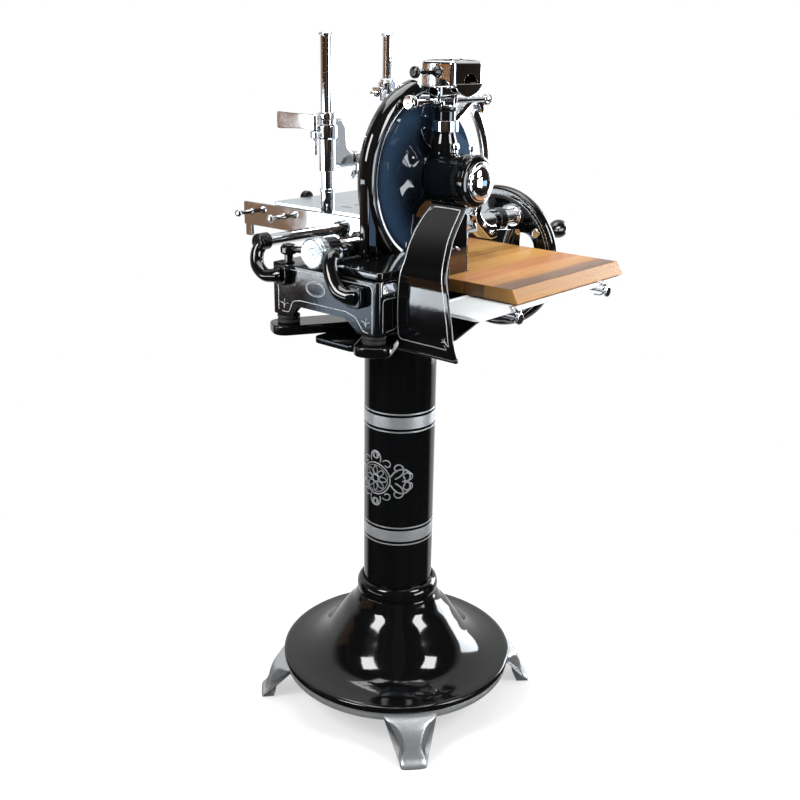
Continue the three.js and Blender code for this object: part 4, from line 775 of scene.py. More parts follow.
# Moulded rubber: matt charcoal with a fine, dusty grain
rubber, tree, shader, place = new_material("black_rubber", "17181a", 0.0, 0.62, 1.5)
dust, pores = grain(tree, place, 2.0), grain(tree, place, 0.9)
dress(tree, shader, dull=dust, roughness=(0.5, 0.72), relief=pores, depth=0.05)
PAD_RADIUS = 21.0
PAD_HEIGHT = 15.4
rest_profile = fillet([
    (0, 0), (19.5, 0), (PAD_RADIUS, 2), (PAD_RADIUS, 6.5), (18.6, 8), (18.6, 9.5), (PAD_RADIUS, 11),
    (PAD_RADIUS, PAD_HEIGHT), (0, PAD_HEIGHT),
], [0, 1, 1, 1, 0.8, 0.8, 1, 1.5, 0], closed=False)
for i, (x, y) in enumerate([(-PAD_X, PAD_FRONT), (-PAD_X, PAD_BACK), (PAD_X, PAD_BACK)]):
    piece(
        f"rest_{i + 1}", [turned(rest_profile, (x, y, ARM_TOP + CLEAR), sides=64)], rubber,
        "stand", [f"rest_pad_{i + 1}"],
    )

# Base casting
# The machine's bed, an open box cast in iron with arched sides and stoved black, stepped at its
# right front for the board. Its walls are cut out of a rounded block, and its edges rounded after.
BASE_LEFT, BASE_RIGHT = -205.0, 205.0
BASE_FRONT, BASE_BACK = -126.0, 136.0
BASE_TOP = 933.0
BASE_FOOT = 838.0
BASE_WALL = 9.0
STEP_X, STEP_Y = -12.0, -73.0
INNER_STEP_X, INNER_STEP_Y = 110.0, 8.0
FLY_Y, FLY_Z = 90.0, 862.0


def cut_shape(name, body_shell, tools, material, body, nodes, edge):
    """A shell with the tools' shapes taken out of it, its edges rounded by a bevel."""
    made = piece(name, [body_shell], material, body, nodes, level=False)
    helpers = []
    for i, tool in enumerate(tools):
        mesh = bpy.data.meshes.new(f"{name}_tool_{i}")
        mesh.from_pydata(metres(tool[0]).tolist(), [], tool[1])
        helper = bpy.data.objects.new(mesh.name, mesh)
        bpy.context.collection.objects.link(helper)
        helpers.append(helper)
        taking = made.modifiers.new(f"cut_{i}", "BOOLEAN")
        taking.operation = "DIFFERENCE"
        taking.solver = "EXACT"
        taking.object = helper
    graph = bpy.context.evaluated_depsgraph_get()
    shaped = bpy.data.meshes.new_from_object(made.evaluated_get(graph))
    made.modifiers.clear()
    made.data = shaped
    for helper in helpers:
        bpy.data.objects.remove(helper)
    shaped.polygons.foreach_set("use_smooth", [True] * len(shaped.polygons))
    if edge:
        rounding = made.modifiers.new("edges", "BEVEL")
        rounding.width = edge / 1000
        rounding.segments = 3
        rounding.limit_method = "ANGLE"
        rounding.angle_limit = math.radians(35)
    normals = made.modifiers.new("normals", "WEIGHTED_NORMAL")
    normals.keep_sharp = True
    return made


def stepped(inset_wall, inset_step):
    """The base's outline seen from above, drawn in by one distance at its outer walls and by
    another at its steps."""
    w, t = inset_wall, inset_step
    return [
        (BASE_LEFT + w, BASE_BACK - w), (BASE_LEFT + w, BASE_FRONT + w), (STEP_X - t, BASE_FRONT + w),
        (STEP_X - t, STEP_Y + t), (INNER_STEP_X - t, STEP_Y + t), (INNER_STEP_X - t, INNER_STEP_Y + t),
        (BASE_RIGHT - w, INNER_STEP_Y + t), (BASE_RIGHT - w, BASE_BACK - w),
    ]


outer_loop = fillet(stepped(0, 0), [8, 8, 5, 0, 5, 0, 6, 8])
inner_loop = fillet(stepped(BASE_WALL, 3.5), [4, 4, 2, 0, 2, 0, 3, 4])
low = BASE_FOOT - 5
end_arch = fillet([
    (-78, low), (82, low), (81, 846), (66, 860), (-50, 860), (-76, 842),
], [0, 0, 10, 16, 22, 14])
back_arch = fillet([
    (-150, low), (150, low), (147, 846), (128, 860), (-128, 860), (-147, 846),
], [0, 0, 12, 20, 20, 12])
front_arch = fillet([
    (-150, low), (-48, low), (-50, 846), (-68, 860), (-128, 860), (-147, 846),
], [0, 0, 12, 20, 20, 12])
window = box_outline(-195, -117, 909, 934.5, 3)
tools = [
    prism(inner_loop, low, BASE_TOP - BASE_WALL, 0.01, steps=1),
    prism(end_arch, BASE_LEFT - 5, BASE_LEFT + BASE_WALL + 3, 0.01, "x", steps=1),
    prism(back_arch, BASE_BACK - BASE_WALL - 3, BASE_BACK + 5, 0.01, "y", steps=1),
    prism(front_arch, BASE_FRONT - 5, BASE_FRONT + BASE_WALL + 3, 0.01, "y", steps=1),
    prism(window, BASE_FRONT - 5, BASE_FRONT + BASE_WALL + 3, 0.01, "y", steps=1),
    turned([(0, 190), (10.6, 190), (10.6, 210), (0, 210)], (0, FLY_Y, FLY_Z), "x", 40),
    turned([(0, 920), (7, 920), (7, 940), (0, 940)], (62, -57, 0), "z", 32),
]
base_shell = prism(outer_loop, BASE_FOOT, BASE_TOP, 2.0)
cut_shape("base_shell", base_shell, tools, black_enamel, "stand", ["base_casting"], 1.4)

# Stripes and shield of the base
# Thin lines of silver paint drawn by hand on the enamel: a frame round the arch on the left end,
# and a bare oval with a small flourish at each lower corner.
left_face = BASE_LEFT - 0.05


def on_left_end(path):
    """A path of (Y, Z) laid on the base's left end, with the way out for each of its points."""
    points = np.column_stack([np.full(len(path), left_face), path])
    return points, np.tile([-1.0, 0, 0], (len(path), 1))


stripe_paths = [
    fillet([(119, 847), (119, 925.5), (-113, 925.5), (-113, 843)], [0, 9, 9, 0], closed=False),
    fillet([
        (110, 846), (92, 846), (82, 868), (62, 872), (-50, 872), (-74, 866), (-92, 844), (-104, 843),
    ], [0, 7, 12, 14, 22, 16, 12, 0], closed=False),
]
stripes = []
for path in stripe_paths:
    points, out = on_left_end(np.asarray(path))
    stripes.append(brush_line(points, out, 1.7))
for side in (1, -1):
    middle_y = 3 + side * 101
    for start, heading, length, bend in [
        ((0, 0), 90, 17, 6.5), ((0, 0), 90, 17, -6.5), ((0, 4), 90, 13, 1.5),
    ]:
        path = scroll(start, heading, length, bend, 1.4, 24) + (middle_y, 852)
        points, out = on_left_end(path)
        stripes.append(brush_line(points, out, 1.3))
angle = np.linspace(0, 2 * np.pi, 81)
for half_y, half_z, width in [(23.5, 13.2, 1.6), (20.6, 10.8, 0.8)]:
    points, out = on_left_end(np.column_stack([23 + half_y * np.cos(angle), 899 + half_z * np.sin(angle)]))
    stripes.append(brush_line(points, out, width))
front_face = BASE_FRONT - 0.05
for path in [
    fillet([(-192, 845), (-192, 902), (STEP_X - 14, 902)], [0, 7, 0], closed=False),
    fillet([
        (-184, 845), (-160, 847), (-147, 869), (-128, 873), (-72, 873), (-54, 868), (-42, 847), (-20, 845),
    ], [0, 6, 10, 12, 12, 10, 8, 0], closed=False),
]:
    path = np.asarray(path)
    points = np.column_stack([path[:, 0], np.full(len(path), front_face), path[:, 1]])
    stripes.append(brush_line(points, np.tile([0, -1.0, 0], (len(path), 1)), 1.7))
piece("base_stripes", stripes, silver_paint, "stand")

# Tab and window trim of the base
# A small plate of polished aluminium on the left end under the guide tube's arm, and a pressed
# frame of chromed strip round the window in front.

# Chrome over polished nickel: a nearly perfect mirror that hand polishing has left slightly wavy
chrome, tree, shader, place = new_material("chrome_plate", "dfe2e5", 1.0, 0.045, 1.5)
haze, waves = grain(tree, place, 45.0), grain(tree, place, 60.0)
dress(tree, shader, dull=haze, roughness=(0.035, 0.075), relief=waves, depth=0.02)
# Polished aluminium: a softer, bluer mirror with drawn-out polishing lines along X
aluminium, tree, shader, place = new_material("polished_aluminium", "c6ced4", 1.0, 0.2, 1.5)
drawn = grain(tree, place, 1.1, stretch=(30, 1, 1))
dress(tree, shader, grain(tree, place, 90.0), ("b9c5cd", "cfd8de"), drawn, (0.2, 0.3), drawn, 0.012)
trim_outer = box_outline(-198, -114, 905.5, 932.6, 3.5)
trim_inner = box_outline(-193.5, -118.5, 910, 932.0, 2.5)
trim = [prism([trim_outer, trim_inner], BASE_FRONT - 1.6, BASE_FRONT - 0.02, 0.5, "y")]
piece("window_trim", trim, chrome, "stand")
tab = [prism(box_outline(91, 100.5, 905, 932, 1.5), BASE_LEFT - 2.2, BASE_LEFT - 0.02, 0.5, "x")]
for z in (909, 928):
    head = fillet([(0, 0), (1.9, 0), (1.9, -0.7), (0, -1.2)], [0, 0, 0.4, 0], closed=False)
    tab.append(turned(head, (BASE_LEFT - 2.2, 95.8, z), "x", 20))
piece("base_tab", tab, aluminium, "stand")

# Guide tube, slice dial and rear rail
# Two drawn and chromed steel bars along which the carriage runs. The tube ends in a turned cap at the
# right and in the slice dial at the left, whose face is held by a slotted screw.
TUBE_Y, TUBE_Z = 28.0, 962.0
TUBE_LEFT, TUBE_RIGHT = -186.0, 406.0
RAIL_Y, RAIL_Z = 165.0, 965.0
tube = lathe([
    (0, TUBE_LEFT), (18, TUBE_LEFT), (18, 389.5), (0, 389.5),
], [0, 0.8, 0.8, 0], (0, TUBE_Y, TUBE_Z), "x", 96)
cap = lathe([
    (0, 390), (21.9, 390), (21.9, TUBE_RIGHT), (15, TUBE_RIGHT), (13, TUBE_RIGHT - 1.2),
    (0, TUBE_RIGHT - 1.2),
], [0, 1.5, 2.5, 1, 1, 0], (0, TUBE_Y, TUBE_Z), "x", 96)
piece("guide_tube_bar", [tube, cap], chrome, "stand", ["guide_tube"])
rail = lathe([(0, -203), (11, -203), (11, 350), (0, 350)], [0, 1.2, 1.2, 0], (0, RAIL_Y, RAIL_Z), "x", 72)
piece("rear_rail_bar", [rail], chrome, "stand", ["rear_rail"])
dial_x = TUBE_LEFT - 0.3 - 22
dial = lathe([
    (0, 1.2), (4.4, 1.2), (4.4, 2.2), (8.5, 2.2), (10, 1.4), (23.5, 0.6), (26, 0), (27.9, 1.2), (27.9, 4.5),
    (26.6, 5.4), (26.6, 7.2), (27.9, 8), (27.9, 20.8), (26.4, 22), (0, 22),
], [0, 0.3, 0.3, 0.5, 0.5, 1, 1, 1, 0.6, 0.5, 0.5, 0.6, 0.8, 0.8, 0], (dial_x, TUBE_Y, TUBE_Z), "x", 128)
screw_head = lathe([
    (0, 1.0), (3.9, 1.0), (3.9, 2.4), (0, 2.4),
], [0, 0.5, 0, 0], (dial_x, TUBE_Y, TUBE_Z), "x", 48)
piece("slice_dial_knob", [dial], aluminium, "slice_dial", ["slice_dial"])
slot = prism(
    box_outline(TUBE_Y - 0.6, TUBE_Y + 0.6, TUBE_Z - 5, TUBE_Z + 5, 0.1), dial_x - 1, dial_x + 1.7, 0.01,
    "x", steps=1,
)
cut_shape("dial_screw", screw_head, [slot], chrome, "slice_dial", [], 0)

# Arms of the tube and the rail
# Cast iron horns, filled and stoved black, bolted to the base's left end. Each is a round bar bent
# out and up from its flange to a collar that grips the tube or the rail.
tube_path = curve([
    (-212, -81, 903), (-220.5, -68, 904), (-223, -50, 912), (-219, -30, 936), (-207, -17, 957),
    (-188, -12, 963), (-168, 4, 962),
], 8)
way_along = np.linspace(0, 1, len(tube_path))
tube_arm_shells = [
    swept(
        tube_path, oval(24, 26, 32), upright=(-1, 0, 0.3),
        scale=np.interp(way_along, [0, 0.2, 0.7, 1], [1.35, 1.12, 1.0, 0.95]),
    ),
    prism(box_outline(-99, -63, 885, 923, 9), BASE_LEFT - 15, BASE_LEFT - 0.1, 2.5, "x"),
    lathe([
        (18.3, -182), (24.5, -182), (24.5, -152), (18.3, -152),
    ], [0.5, 1.5, 1.5, 0.5], (0, TUBE_Y, TUBE_Z), "x", 96),
]
piece("tube_arm_casting", tube_arm_shells, black_enamel, "stand", ["tube_arm"])
rail_path = curve([
    (-213, 100, 915), (-220, 112, 913), (-223, 134, 912), (-220, 157, 925), (-211, 167, 945),
    (-201, RAIL_Y, 962),
], 8)
rail_arm_shells = [
    swept(
        rail_path, oval(23, 25, 32), upright=(-1, 0.2, 0),
        scale=np.interp(np.linspace(0, 1, len(rail_path)), [0, 0.25, 1], [1.25, 1.05, 0.98]),
    ),
    prism(box_outline(85, 119, 897, 931, 8), BASE_LEFT - 13, BASE_LEFT - 0.1, 2.5, "x"),
    lathe([
        (0, -214), (13, -214), (15.6, -211), (15.6, -188), (11.2, -188), (11.2, -203), (0, -203),
    ], [0, 2, 2, 1, 0.4, 0, 0], (0, RAIL_Y, RAIL_Z), "x", 72),
]
piece("rail_arm_casting", rail_arm_shells, black_enamel, "stand", ["rail_arm"])
yoke = fillet([
    (18, 905), (176, 905), (176, RAIL_Z), (154, RAIL_Z), (154, 928), (40, 928), (40, TUBE_Z), (16, TUBE_Z),
], [8, 10, 0, 0, 9, 9, 0, 0])
right_arm_shells = [
    prism(yoke, 320, 344, 3, "x"),
    lathe([
        (18.3, 320), (25, 320), (25, 344), (18.3, 344),
    ], [0.5, 1.5, 1.5, 0.5], (0, TUBE_Y, TUBE_Z), "x", 96),
    lathe([
        (11.3, 320), (17, 320), (17, 344), (11.3, 344),
    ], [0.5, 1.5, 1.5, 0.5], (0, RAIL_Y, RAIL_Z), "x", 72),
    prism(box_outline(44, 78, 896, 924, 8), 205.3, 323, 2, "x"),
]
piece("right_arm_casting", right_arm_shells, black_enamel, "stand", ["right_arm"])
stay_path = curve([(-188, 108, 957), (-181, 84, 958), (-173, 66, 958.5), (-170, 54.5, 959)], 8)
stay = [
    lathe([
        (0, 933.3), (11, 933.3), (11, 936), (8, 937), (8, 948), (13, 949), (15, 952), (15, 961),
        (11, 966.2), (0, 967),
    ], [0, 0.8, 0.8, 0.5, 1, 1.5, 2, 2, 3, 0], (-188, 108, 0), "z", 48),
    swept(stay_path, oval(12, 12, 24)),
]
piece("rail_stay_casting", stay, black_enamel, "stand", ["rail_stay"])

# Carriage
# Two bronze-lined bushes on the guide tube, an aluminium beam over them and two cross beams to a
# saddle on the rear rail, machined all over. A chromed plate closes the left end and has two ball
# studs.
BEAM_LOW, BEAM_TOP = 988.0, 999.7
FEED_X, FEED_Z = -44.0, 982.0
feed_hole = arc((FEED_X, FEED_Z), 6.1, 0, 360)[:-1]
frame_shells = []
for x in (-90, 60):
    frame_shells += [
        lathe([
            (18.35, x), (22.3, x), (22.3, x + 50), (18.35, x + 50),
        ], [0.4, 1, 1, 0.4], (0, TUBE_Y, TUBE_Z), "x", 96),
        prism(box_outline(x, x + 50, TUBE_Y - 9, TUBE_Y + 9, 1.5), 981.5, BEAM_LOW + 1, 0.6),
        prism(box_outline(x, x + 34, TUBE_Y + 6, RAIL_Y + 15, 1.5), BEAM_LOW, BEAM_TOP, 1.0),
        prism(box_outline(x, x + 34, RAIL_Y - 12, RAIL_Y + 12, 1.5), 976.6, BEAM_LOW + 1, 0.8),
    ]
frame_shells += [
    prism(box_outline(-90, 186, TUBE_Y - 10, TUBE_Y + 12, 2), BEAM_LOW, BEAM_TOP, 1.2),
    prism(box_outline(-90, 110, RAIL_Y - 8, RAIL_Y + 15, 2), BEAM_LOW, BEAM_TOP, 1.0),
    prism(box_outline(-54, -34, 172, 189, 1.5), 985, BEAM_TOP - 3, 0.8),
    prism([box_outline(-54, -34, 973, 989, 2), feed_hole], 177, 189, 0.6, "y"),
]
piece("carriage_beams", frame_shells, aluminium, "carriage", ["carriage_frame"])
# The holes for the tube and the rail run out at the plate's lower edge, so the outline follows them
rest_outline = fillet([
    (150, 966), (313, 966), (313, 944), (331, 944), (331, 966), (335, 966), (335, 1011), (11, 1011),
    (11, 1005),
], [0, 1.5, 3, 3, 0.5, 0.8, 4, 4, 0], closed=False)
rail_arc = arc((RAIL_Y, RAIL_Z), 12.1, 175, 5, 30)
end_outline = np.concatenate([
    [(11, 966.2), (TUBE_Y - 18.7, 966.2)], arc((TUBE_Y, TUBE_Z), 19.2, 167.5, 12.5, 40), [(152.8, 966.2)],
    rail_arc, [(178, 966.2)], rest_outline[1:-1],
])
plate = prism(end_outline, -96.3, -90.4, 0.7, "x", steps=2)
end_shells = [plate]
for y in (315, 223):
    stud = fillet([
        (0, 0), (4, 0), (4, -27), (5, -28), (7.4, -32), (7.4, -34), (5, -37.4), (0, -38),
    ], [0, 0, 1, 1, 2, 2, 2, 0], closed=False)
    end_shells.append(turned(stud, (-95.3, y, 992), "x", 48))
    end_shells.append(lathe([
        (0, 0), (7.5, 0), (7.5, -2.4), (0, -2.4),
    ], [0, 0, 0.6, 0], (-96.2, y, 992), "x", 40))
piece("carriage_end", end_shells, chrome, "carriage", ["carriage_end_plate"])

# Meat table
# A flat plate of polished aluminium on two slides, with two slots for a meat spike, a black knob at
# its back edge and a bearing block for the feed screw under it.
TABLE_TOP = 1018.0
table_loops = [box_outline(-90, 196, 14, 252, 5)]
for i in range(2):
    x, y = -41.5 + i * 33, 107 - i * 2.5
    table_loops.append(box_outline(x - 2.5, x + 2.5, y - 14.5, y + 14.5, 2.45))
table = [
    prism(table_loops, TABLE_TOP - 10, TABLE_TOP, 0.8),
    prism(box_outline(130, 166, 22, 242, 1), 1000, 1009, 0.6),
    prism(box_outline(-86, -60, 22, 242, 1), 1000, 1009, 0.6),
    prism([box_outline(-54, -34, 973, 1009, 2), feed_hole], 205, 217, 0.6, "y"),
]
piece("meat_table_plate", table, aluminium, "table", ["meat_table"])
# Turned phenolic: black, with a waxy shine that comes and goes
phenolic, tree, shader, place = new_material("black_phenolic", "0c0c0e", 0.0, 0.16, 1.54)
swirl = grain(tree, place, 14.0, detail=4)
dress(tree, shader, dull=swirl, roughness=(0.1, 0.26), relief=grain(tree, place, 6.0), depth=0.04)
knob = fillet([
    (0, 250), (4, 250), (4, 262), (11, 262), (13, 264), (13, 275), (10, 278), (0, 278),
], [0, 0, 0.5, 1, 1.5, 3, 2, 0], closed=False)
piece("table_knob", [turned(knob, (14, 0, TABLE_TOP - 4), "y", 56)], phenolic, "table")

# Feed screw
# A steel screw cut on the lathe, under the table, with a collar against its bearing on the carriage
# and a turned hand knob at its far end.

# Machined steel: a dull grey mirror with fine tool rings round the Y axis, drawn coarser than the
# tool's feed so that they show
machined_steel, tree, shader, place = new_material("machined_steel", "8e9094", 1.0, 0.28, 1.5)
rings = grain(tree, place, 0.9, stretch=(1, 30, 1))
dress(tree, shader, grain(tree, place, 26.0), ("7f8185", "a0a2a5"), rings, (0.2, 0.4))
thread = [(0, 50), (4.2, 50)]
for step in range(56):
    y = 52 + step * 4
    if not 176 < y < 222:
        thread += [(4.3, y), (5.7, y + 1.2), (5.7, y + 2), (4.3, y + 3.2)]
thread += [(4.3, 284), (0, 284)]
screw_shells = [
    turned(thread, (FEED_X, 0, FEED_Z), "y", 32),
    lathe([(0, 199.7), (9, 199.7), (9, 204.7), (0, 204.7)], [0, 0.6, 0.6, 0], (FEED_X, 0, FEED_Z), "y", 48),
    lathe([
        (0, 283), (14, 283), (18, 286.5), (18, 293.5), (14, 296), (0, 296),
    ], [0, 1, 1, 1, 1, 0], (FEED_X, 0, FEED_Z), "y", 72),
]
piece("feed_screw_bar", screw_shells, machined_steel, "feed_screw", ["feed_screw"])

# Meat posts
# Two turned and chromed steel posts, screwed into the table. Each stands in a stepped sleeve and ends
# in a grooved button that keeps the clamp from coming off.
POST_Y = 108.0
POST_TOP = 1328.0
for name, x, radius in [("left", -88, 11.0), ("right", 75, 10.0)]:
    sleeve = radius + 2
    profile = fillet([
        (0, 1012.2), (sleeve, 1012.2), (sleeve, 1050), (sleeve + 1.2, 1051.5), (sleeve + 1.2, 1055.5),
        (sleeve - 0.4, 1056.8), (radius, 1057), (radius, POST_TOP - 6), (radius - 1, POST_TOP - 5.4),
        (radius + 3, POST_TOP - 4.4), (radius + 3, POST_TOP - 1.6), (radius, POST_TOP), (0, POST_TOP),
    ], [0, 0, 0.8, 0.6, 0.8, 0.4, 0.2, 0.3, 0.3, 0.8, 1.2, 1, 0], closed=False)
    piece(
        f"{name}_post_bar", [turned(profile, (x, POST_Y, 0), "z", 80)], chrome, "table",
        [f"{name}_post"],
    )

# Meat clamps
# Chromed castings that slide on the posts. The left one has a bent arm with a boss over the meat, a
# flat clamping lever and a wing screw; the right one a short lug with a grub screw.
x, z = -88.0, 1158.0
left_shells = [
    lathe([
        (11.1, z - 70), (15, z - 70), (15, z + 25), (11.1, z + 25),
    ], [0.4, 1, 0, 0.4], (x, POST_Y, 0), "z", 80),
    lathe([
        (11.1, z - 13), (17, z - 13), (19, z - 10), (19, z + 10), (17, z + 13), (11.1, z + 13),
    ], [0.4, 1, 1.5, 1.5, 1, 0.4], (x, POST_Y, 0), "z", 80),
    lathe([
        (11.1, z + 21), (16, z + 21), (16.4, z + 24), (16.4, z + 31), (14, z + 34), (11.1, z + 34),
    ], [0.4, 1, 1, 1, 1, 0.4], (x, POST_Y, 0), "z", 80),
    prism(box_outline(x - 33, x - 12, POST_Y - 5, POST_Y + 13, 6), z - 10, z + 1, 1.2),
]
arm_side = fillet([
    (x + 10, z + 22), (x + 34, z + 22), (x + 45, z + 8), (x + 48, z - 28), (x + 58, z - 38),
    (x + 78, z - 39), (x + 84, z - 52), (x + 80, z - 65), (x + 30, z - 66), (x + 10, z - 60),
], [7, 8, 8, 9, 8, 7, 10, 8, 10, 7])
left_shells.append(prism(arm_side, POST_Y - 8, POST_Y + 8, 6.5, "y", steps=6))
boss = fillet([
    (0, -13), (11.5, -13), (13, -11), (13, 11), (11.5, 13), (0, 13),
], [0, 1, 1.5, 1.5, 1, 0], closed=False)
left_shells.append(turned(boss, (x + 76, POST_Y, z - 52), "y", 64))
piece("left_clamp_casting", left_shells, chrome, "left_clamp", ["left_clamp"])

lever_y = POST_Y + 4
lever_outline = curve([
    (lever_y - 5, z + 3), (lever_y + 8, z + 2), (lever_y + 20, z + 3), (lever_y + 34, z + 4),
    (lever_y + 60, z + 3), (lever_y + 84, z + 1.5), (lever_y + 96, z + 2), (lever_y + 98, z + 6),
    (lever_y + 98, z + 27), (lever_y + 95, z + 31.5), (lever_y + 80, z + 31.5), (lever_y + 56, z + 31),
    (lever_y + 34, z + 30.5), (lever_y + 18, z + 30.5), (lever_y + 4, z + 30), (lever_y - 5, z + 28),
], 4, closed=True)
lever = [
    prism(lever_outline, x - 28.5, x - 23.5, 1.4, "x"),
    lathe([
        (0, z + 1.3), (6, z + 1.3), (6.5, z + 4), (6.5, z + 28), (5, z + 32), (0, z + 32),
    ], [0, 0.6, 1, 1.5, 1.5, 0], (x - 26, lever_y, 0), "z", 48),
    lathe([
        (0, z - 40), (3.5, z - 40), (3.5, z + 3), (0, z + 3),
    ], [0, 1, 0, 0], (x - 26, lever_y, 0), "z", 32),
]
piece("clamp_lever_flat", lever, chrome, "clamp_lever", ["clamp_lever"])

wing_z = z - 65.3
wing_x = x + 76
wing_outline = curve([
    (wing_x - 7, wing_z - 9.5), (wing_x - 10, wing_z - 14), (wing_x - 12, wing_z - 21),
    (wing_x - 8.5, wing_z - 24.5), (wing_x - 4, wing_z - 22.5), (wing_x, wing_z - 18.5),
    (wing_x + 4, wing_z - 22.5), (wing_x + 8.5, wing_z - 24.5), (wing_x + 12, wing_z - 21),
    (wing_x + 10, wing_z - 14), (wing_x + 7, wing_z - 9.5),
], 4, closed=True)
wing = [
    prism(wing_outline, POST_Y - 2.5, POST_Y + 2.5, 1.4, "y"),
    lathe([
        (0, wing_z - 18), (5.5, wing_z - 17), (6, wing_z - 12), (4.5, wing_z - 8), (4.5, wing_z),
        (0, wing_z),
    ], [0, 1.5, 2, 1.5, 0.3, 0], (wing_x, POST_Y, 0), "z", 40),
]
piece("wing_screw_casting", wing, chrome, "wing_screw", ["wing_screw"])

x, z = 75.0, 1230.0
right_shells = [
    lathe([
        (10.1, z - 12), (16.5, z - 12), (18, z - 10), (18, z + 10), (16.5, z + 12), (10.1, z + 12),
    ], [0.4, 1, 1.5, 1.5, 1, 0.4], (x, POST_Y, 0), "z", 80),
    lathe([
        (10.1, z + 10), (14.5, z + 10), (14.5, z + 15), (12, z + 17), (10.1, z + 17),
    ], [0.4, 1, 1, 1, 0.4], (x, POST_Y, 0), "z", 80),
    prism(box_outline(x - 32, x - 12, POST_Y - 12, POST_Y + 12, 4), z - 22, z + 2, 1.5),
    lathe([
        (0, x - 44), (5, x - 44), (6, x - 42), (6, x - 30), (0, x - 30),
    ], [0, 1, 1, 0, 0], (0, POST_Y, z - 10), "x", 40),
]
piece("right_clamp_casting", right_shells, chrome, "right_clamp", ["right_clamp"])

# Blade bracket
# An iron casting, filled and stoved black: a stepped foot on the base, a post with a web up to the
# blade's round housing, and on that the pillar of the sharpener with a machined flange.
HUB_X, HUB_Z = 62.0, 1077.0
FOOT_TOP = 947.0
SHAFT_Y = -57.0
PILLAR_Y = -45.0
foot_loop = fillet([
    (-196, -122), (STEP_X - 3, -122), (STEP_X - 3, -70), (107, -70), (107, -24), (-3, -24), (-3, 5.2),
    (-178, 5.2), (-178, -30), (-196, -34),
], [10, 4, 3, 4, 4, 4, 3, 8, 10, 6])
web_loop = fillet([
    (-24, FOOT_TOP - 1), (HUB_X + 8, FOOT_TOP - 1), (HUB_X + 8, HUB_Z - 20), (40, HUB_Z - 26), (22, 1004),
    (6, 966),
], [0, 0, 0, 6, 30, 20])
housing = fillet([
    (0, -128), (40, -128), (44.5, -126.5), (47, -123), (47, -119), (46, -118), (46, -36), (41, -28), (0, -27),
], [0, 1, 3, 3, 0.8, 0.8, 6, 6, 0], closed=False)
pillar_profile = fillet([
    (0, 1108), (26, 1108), (25, 1126), (24, 1140), (19, 1157), (19, 1196), (22, 1198), (22.5, 1200),
    (22.5, 1203), (0, 1204),
], [0, 0, 14, 14, 12, 2, 1, 0.6, 0.8, 0], closed=False)
bracket = [
    prism(foot_loop, 933.3, FOOT_TOP, 3.0),
    lathe([
        (0, FOOT_TOP - 1), (26, FOOT_TOP - 1), (17, FOOT_TOP + 9), (15.5, 975), (15.5, HUB_Z - 20),
        (0, HUB_Z - 20),
    ], [0, 0, 9, 12, 0, 0], (HUB_X, SHAFT_Y, 0), "z", 72),
    prism(web_loop, SHAFT_Y - 5, SHAFT_Y + 5, 2.2, "y"),
    turned(housing, (HUB_X, 0, HUB_Z), "y", 128),
    turned(pillar_profile, (HUB_X, PILLAR_Y, 0), "z", 80),
]
piece("blade_bracket_casting", bracket, black_enamel, "stand", ["blade_bracket"])

# Hub dome
# A spun brass cap, chromed, with a stepped rim round a low dome. It is pressed into the front of
# the blade's housing.
dome_angle = np.radians(np.linspace(0, 90, 20))
dome_arc = np.column_stack([31.5 * np.cos(dome_angle), -133.5 - 13.5 * np.sin(dome_angle)])
dome_step = fillet([(35.9, -128.3), (35.9, -131.5), (34.2, -133.3)], [0, 1.2, 0], closed=False)
dome_profile = np.concatenate([[(0, -128.3)], dome_step, [(32.6, -133.4)], dome_arc[:-1], [(0, -147)]])
piece(
    "hub_dome_cap", [turned(dome_profile, (HUB_X, 0, HUB_Z), "y", 128)], chrome, "stand",
    ["hub_dome"],
)

# Guard
# Spun sheet steel, stoved black: a shallow dish, coloured with a painted blue reflection, before the blade
# that runs out to a rolled rim round the left half, which stands on a leg on the bracket's foot. A silver
# line follows the rim.
GUARD_BACK = 5.2
guard_front = curve([
    (178, -3), (177, -9), (174.5, -14), (170.5, -18), (165.5, -20.4), (161, -21), (157, -20.6),
    (153.6, -19), (151.4, -17), (148.4, -15.6), (140, -13.4), (130, -11.2), (120, -9.1), (110, -7.4),
    (100, -6.2), (90, -5.6), (72, -5.4), (61, -6.8), (54, -10), (49, -15), (45, -21), (42.5, -26),
], 4)
guard_back = np.array([
    (41, -26.5), (6, -26.5), (6, -20), (44, -20), (60, -10), (85, -3.5), (110, -1.5), (132, -2), (146, -4),
    (156, -8), (168, -8), (172, 0), (172, GUARD_BACK), (178, GUARD_BACK),
])
section = np.concatenate([guard_front, guard_back])
angles = np.radians(np.concatenate([np.linspace(104, 242, 100), np.linspace(242, 464, 120)[1:-1]]))
r, y = section[:, 0], section[:, 1]
open_half = (angles > math.radians(242.01)) & (angles < math.radians(463.99))
guard_rows = []
for a, cut_off in zip(angles, open_half):
    rr = np.where(cut_off, np.minimum(r, 132), r)
    yy = np.where(cut_off & (r > 132), np.where(np.arange(len(r)) < len(guard_front), -6.3, -2.0), y)
    guard_rows.append(np.column_stack([HUB_X + rr * math.cos(a), yy, HUB_Z + rr * math.sin(a)]))
guard_grid = np.stack(guard_rows)
floor_z = FOOT_TOP + 0.4
guard_grid[..., 2] = np.maximum(guard_grid[..., 2], floor_z)
dish = net(guard_grid[:, ::-1], wrap_u=True, wrap_v=True)
leg_loop = fillet([
    (-116, HUB_Z), (-116, floor_z), (-82, floor_z), (-84, 1000), (-88, 1040), (-92, HUB_Z),
], [0, 2, 2, 20, 20, 0])
guard_shells = [dish, prism(leg_loop, -16, GUARD_BACK, 8.0, "y", steps=8)]
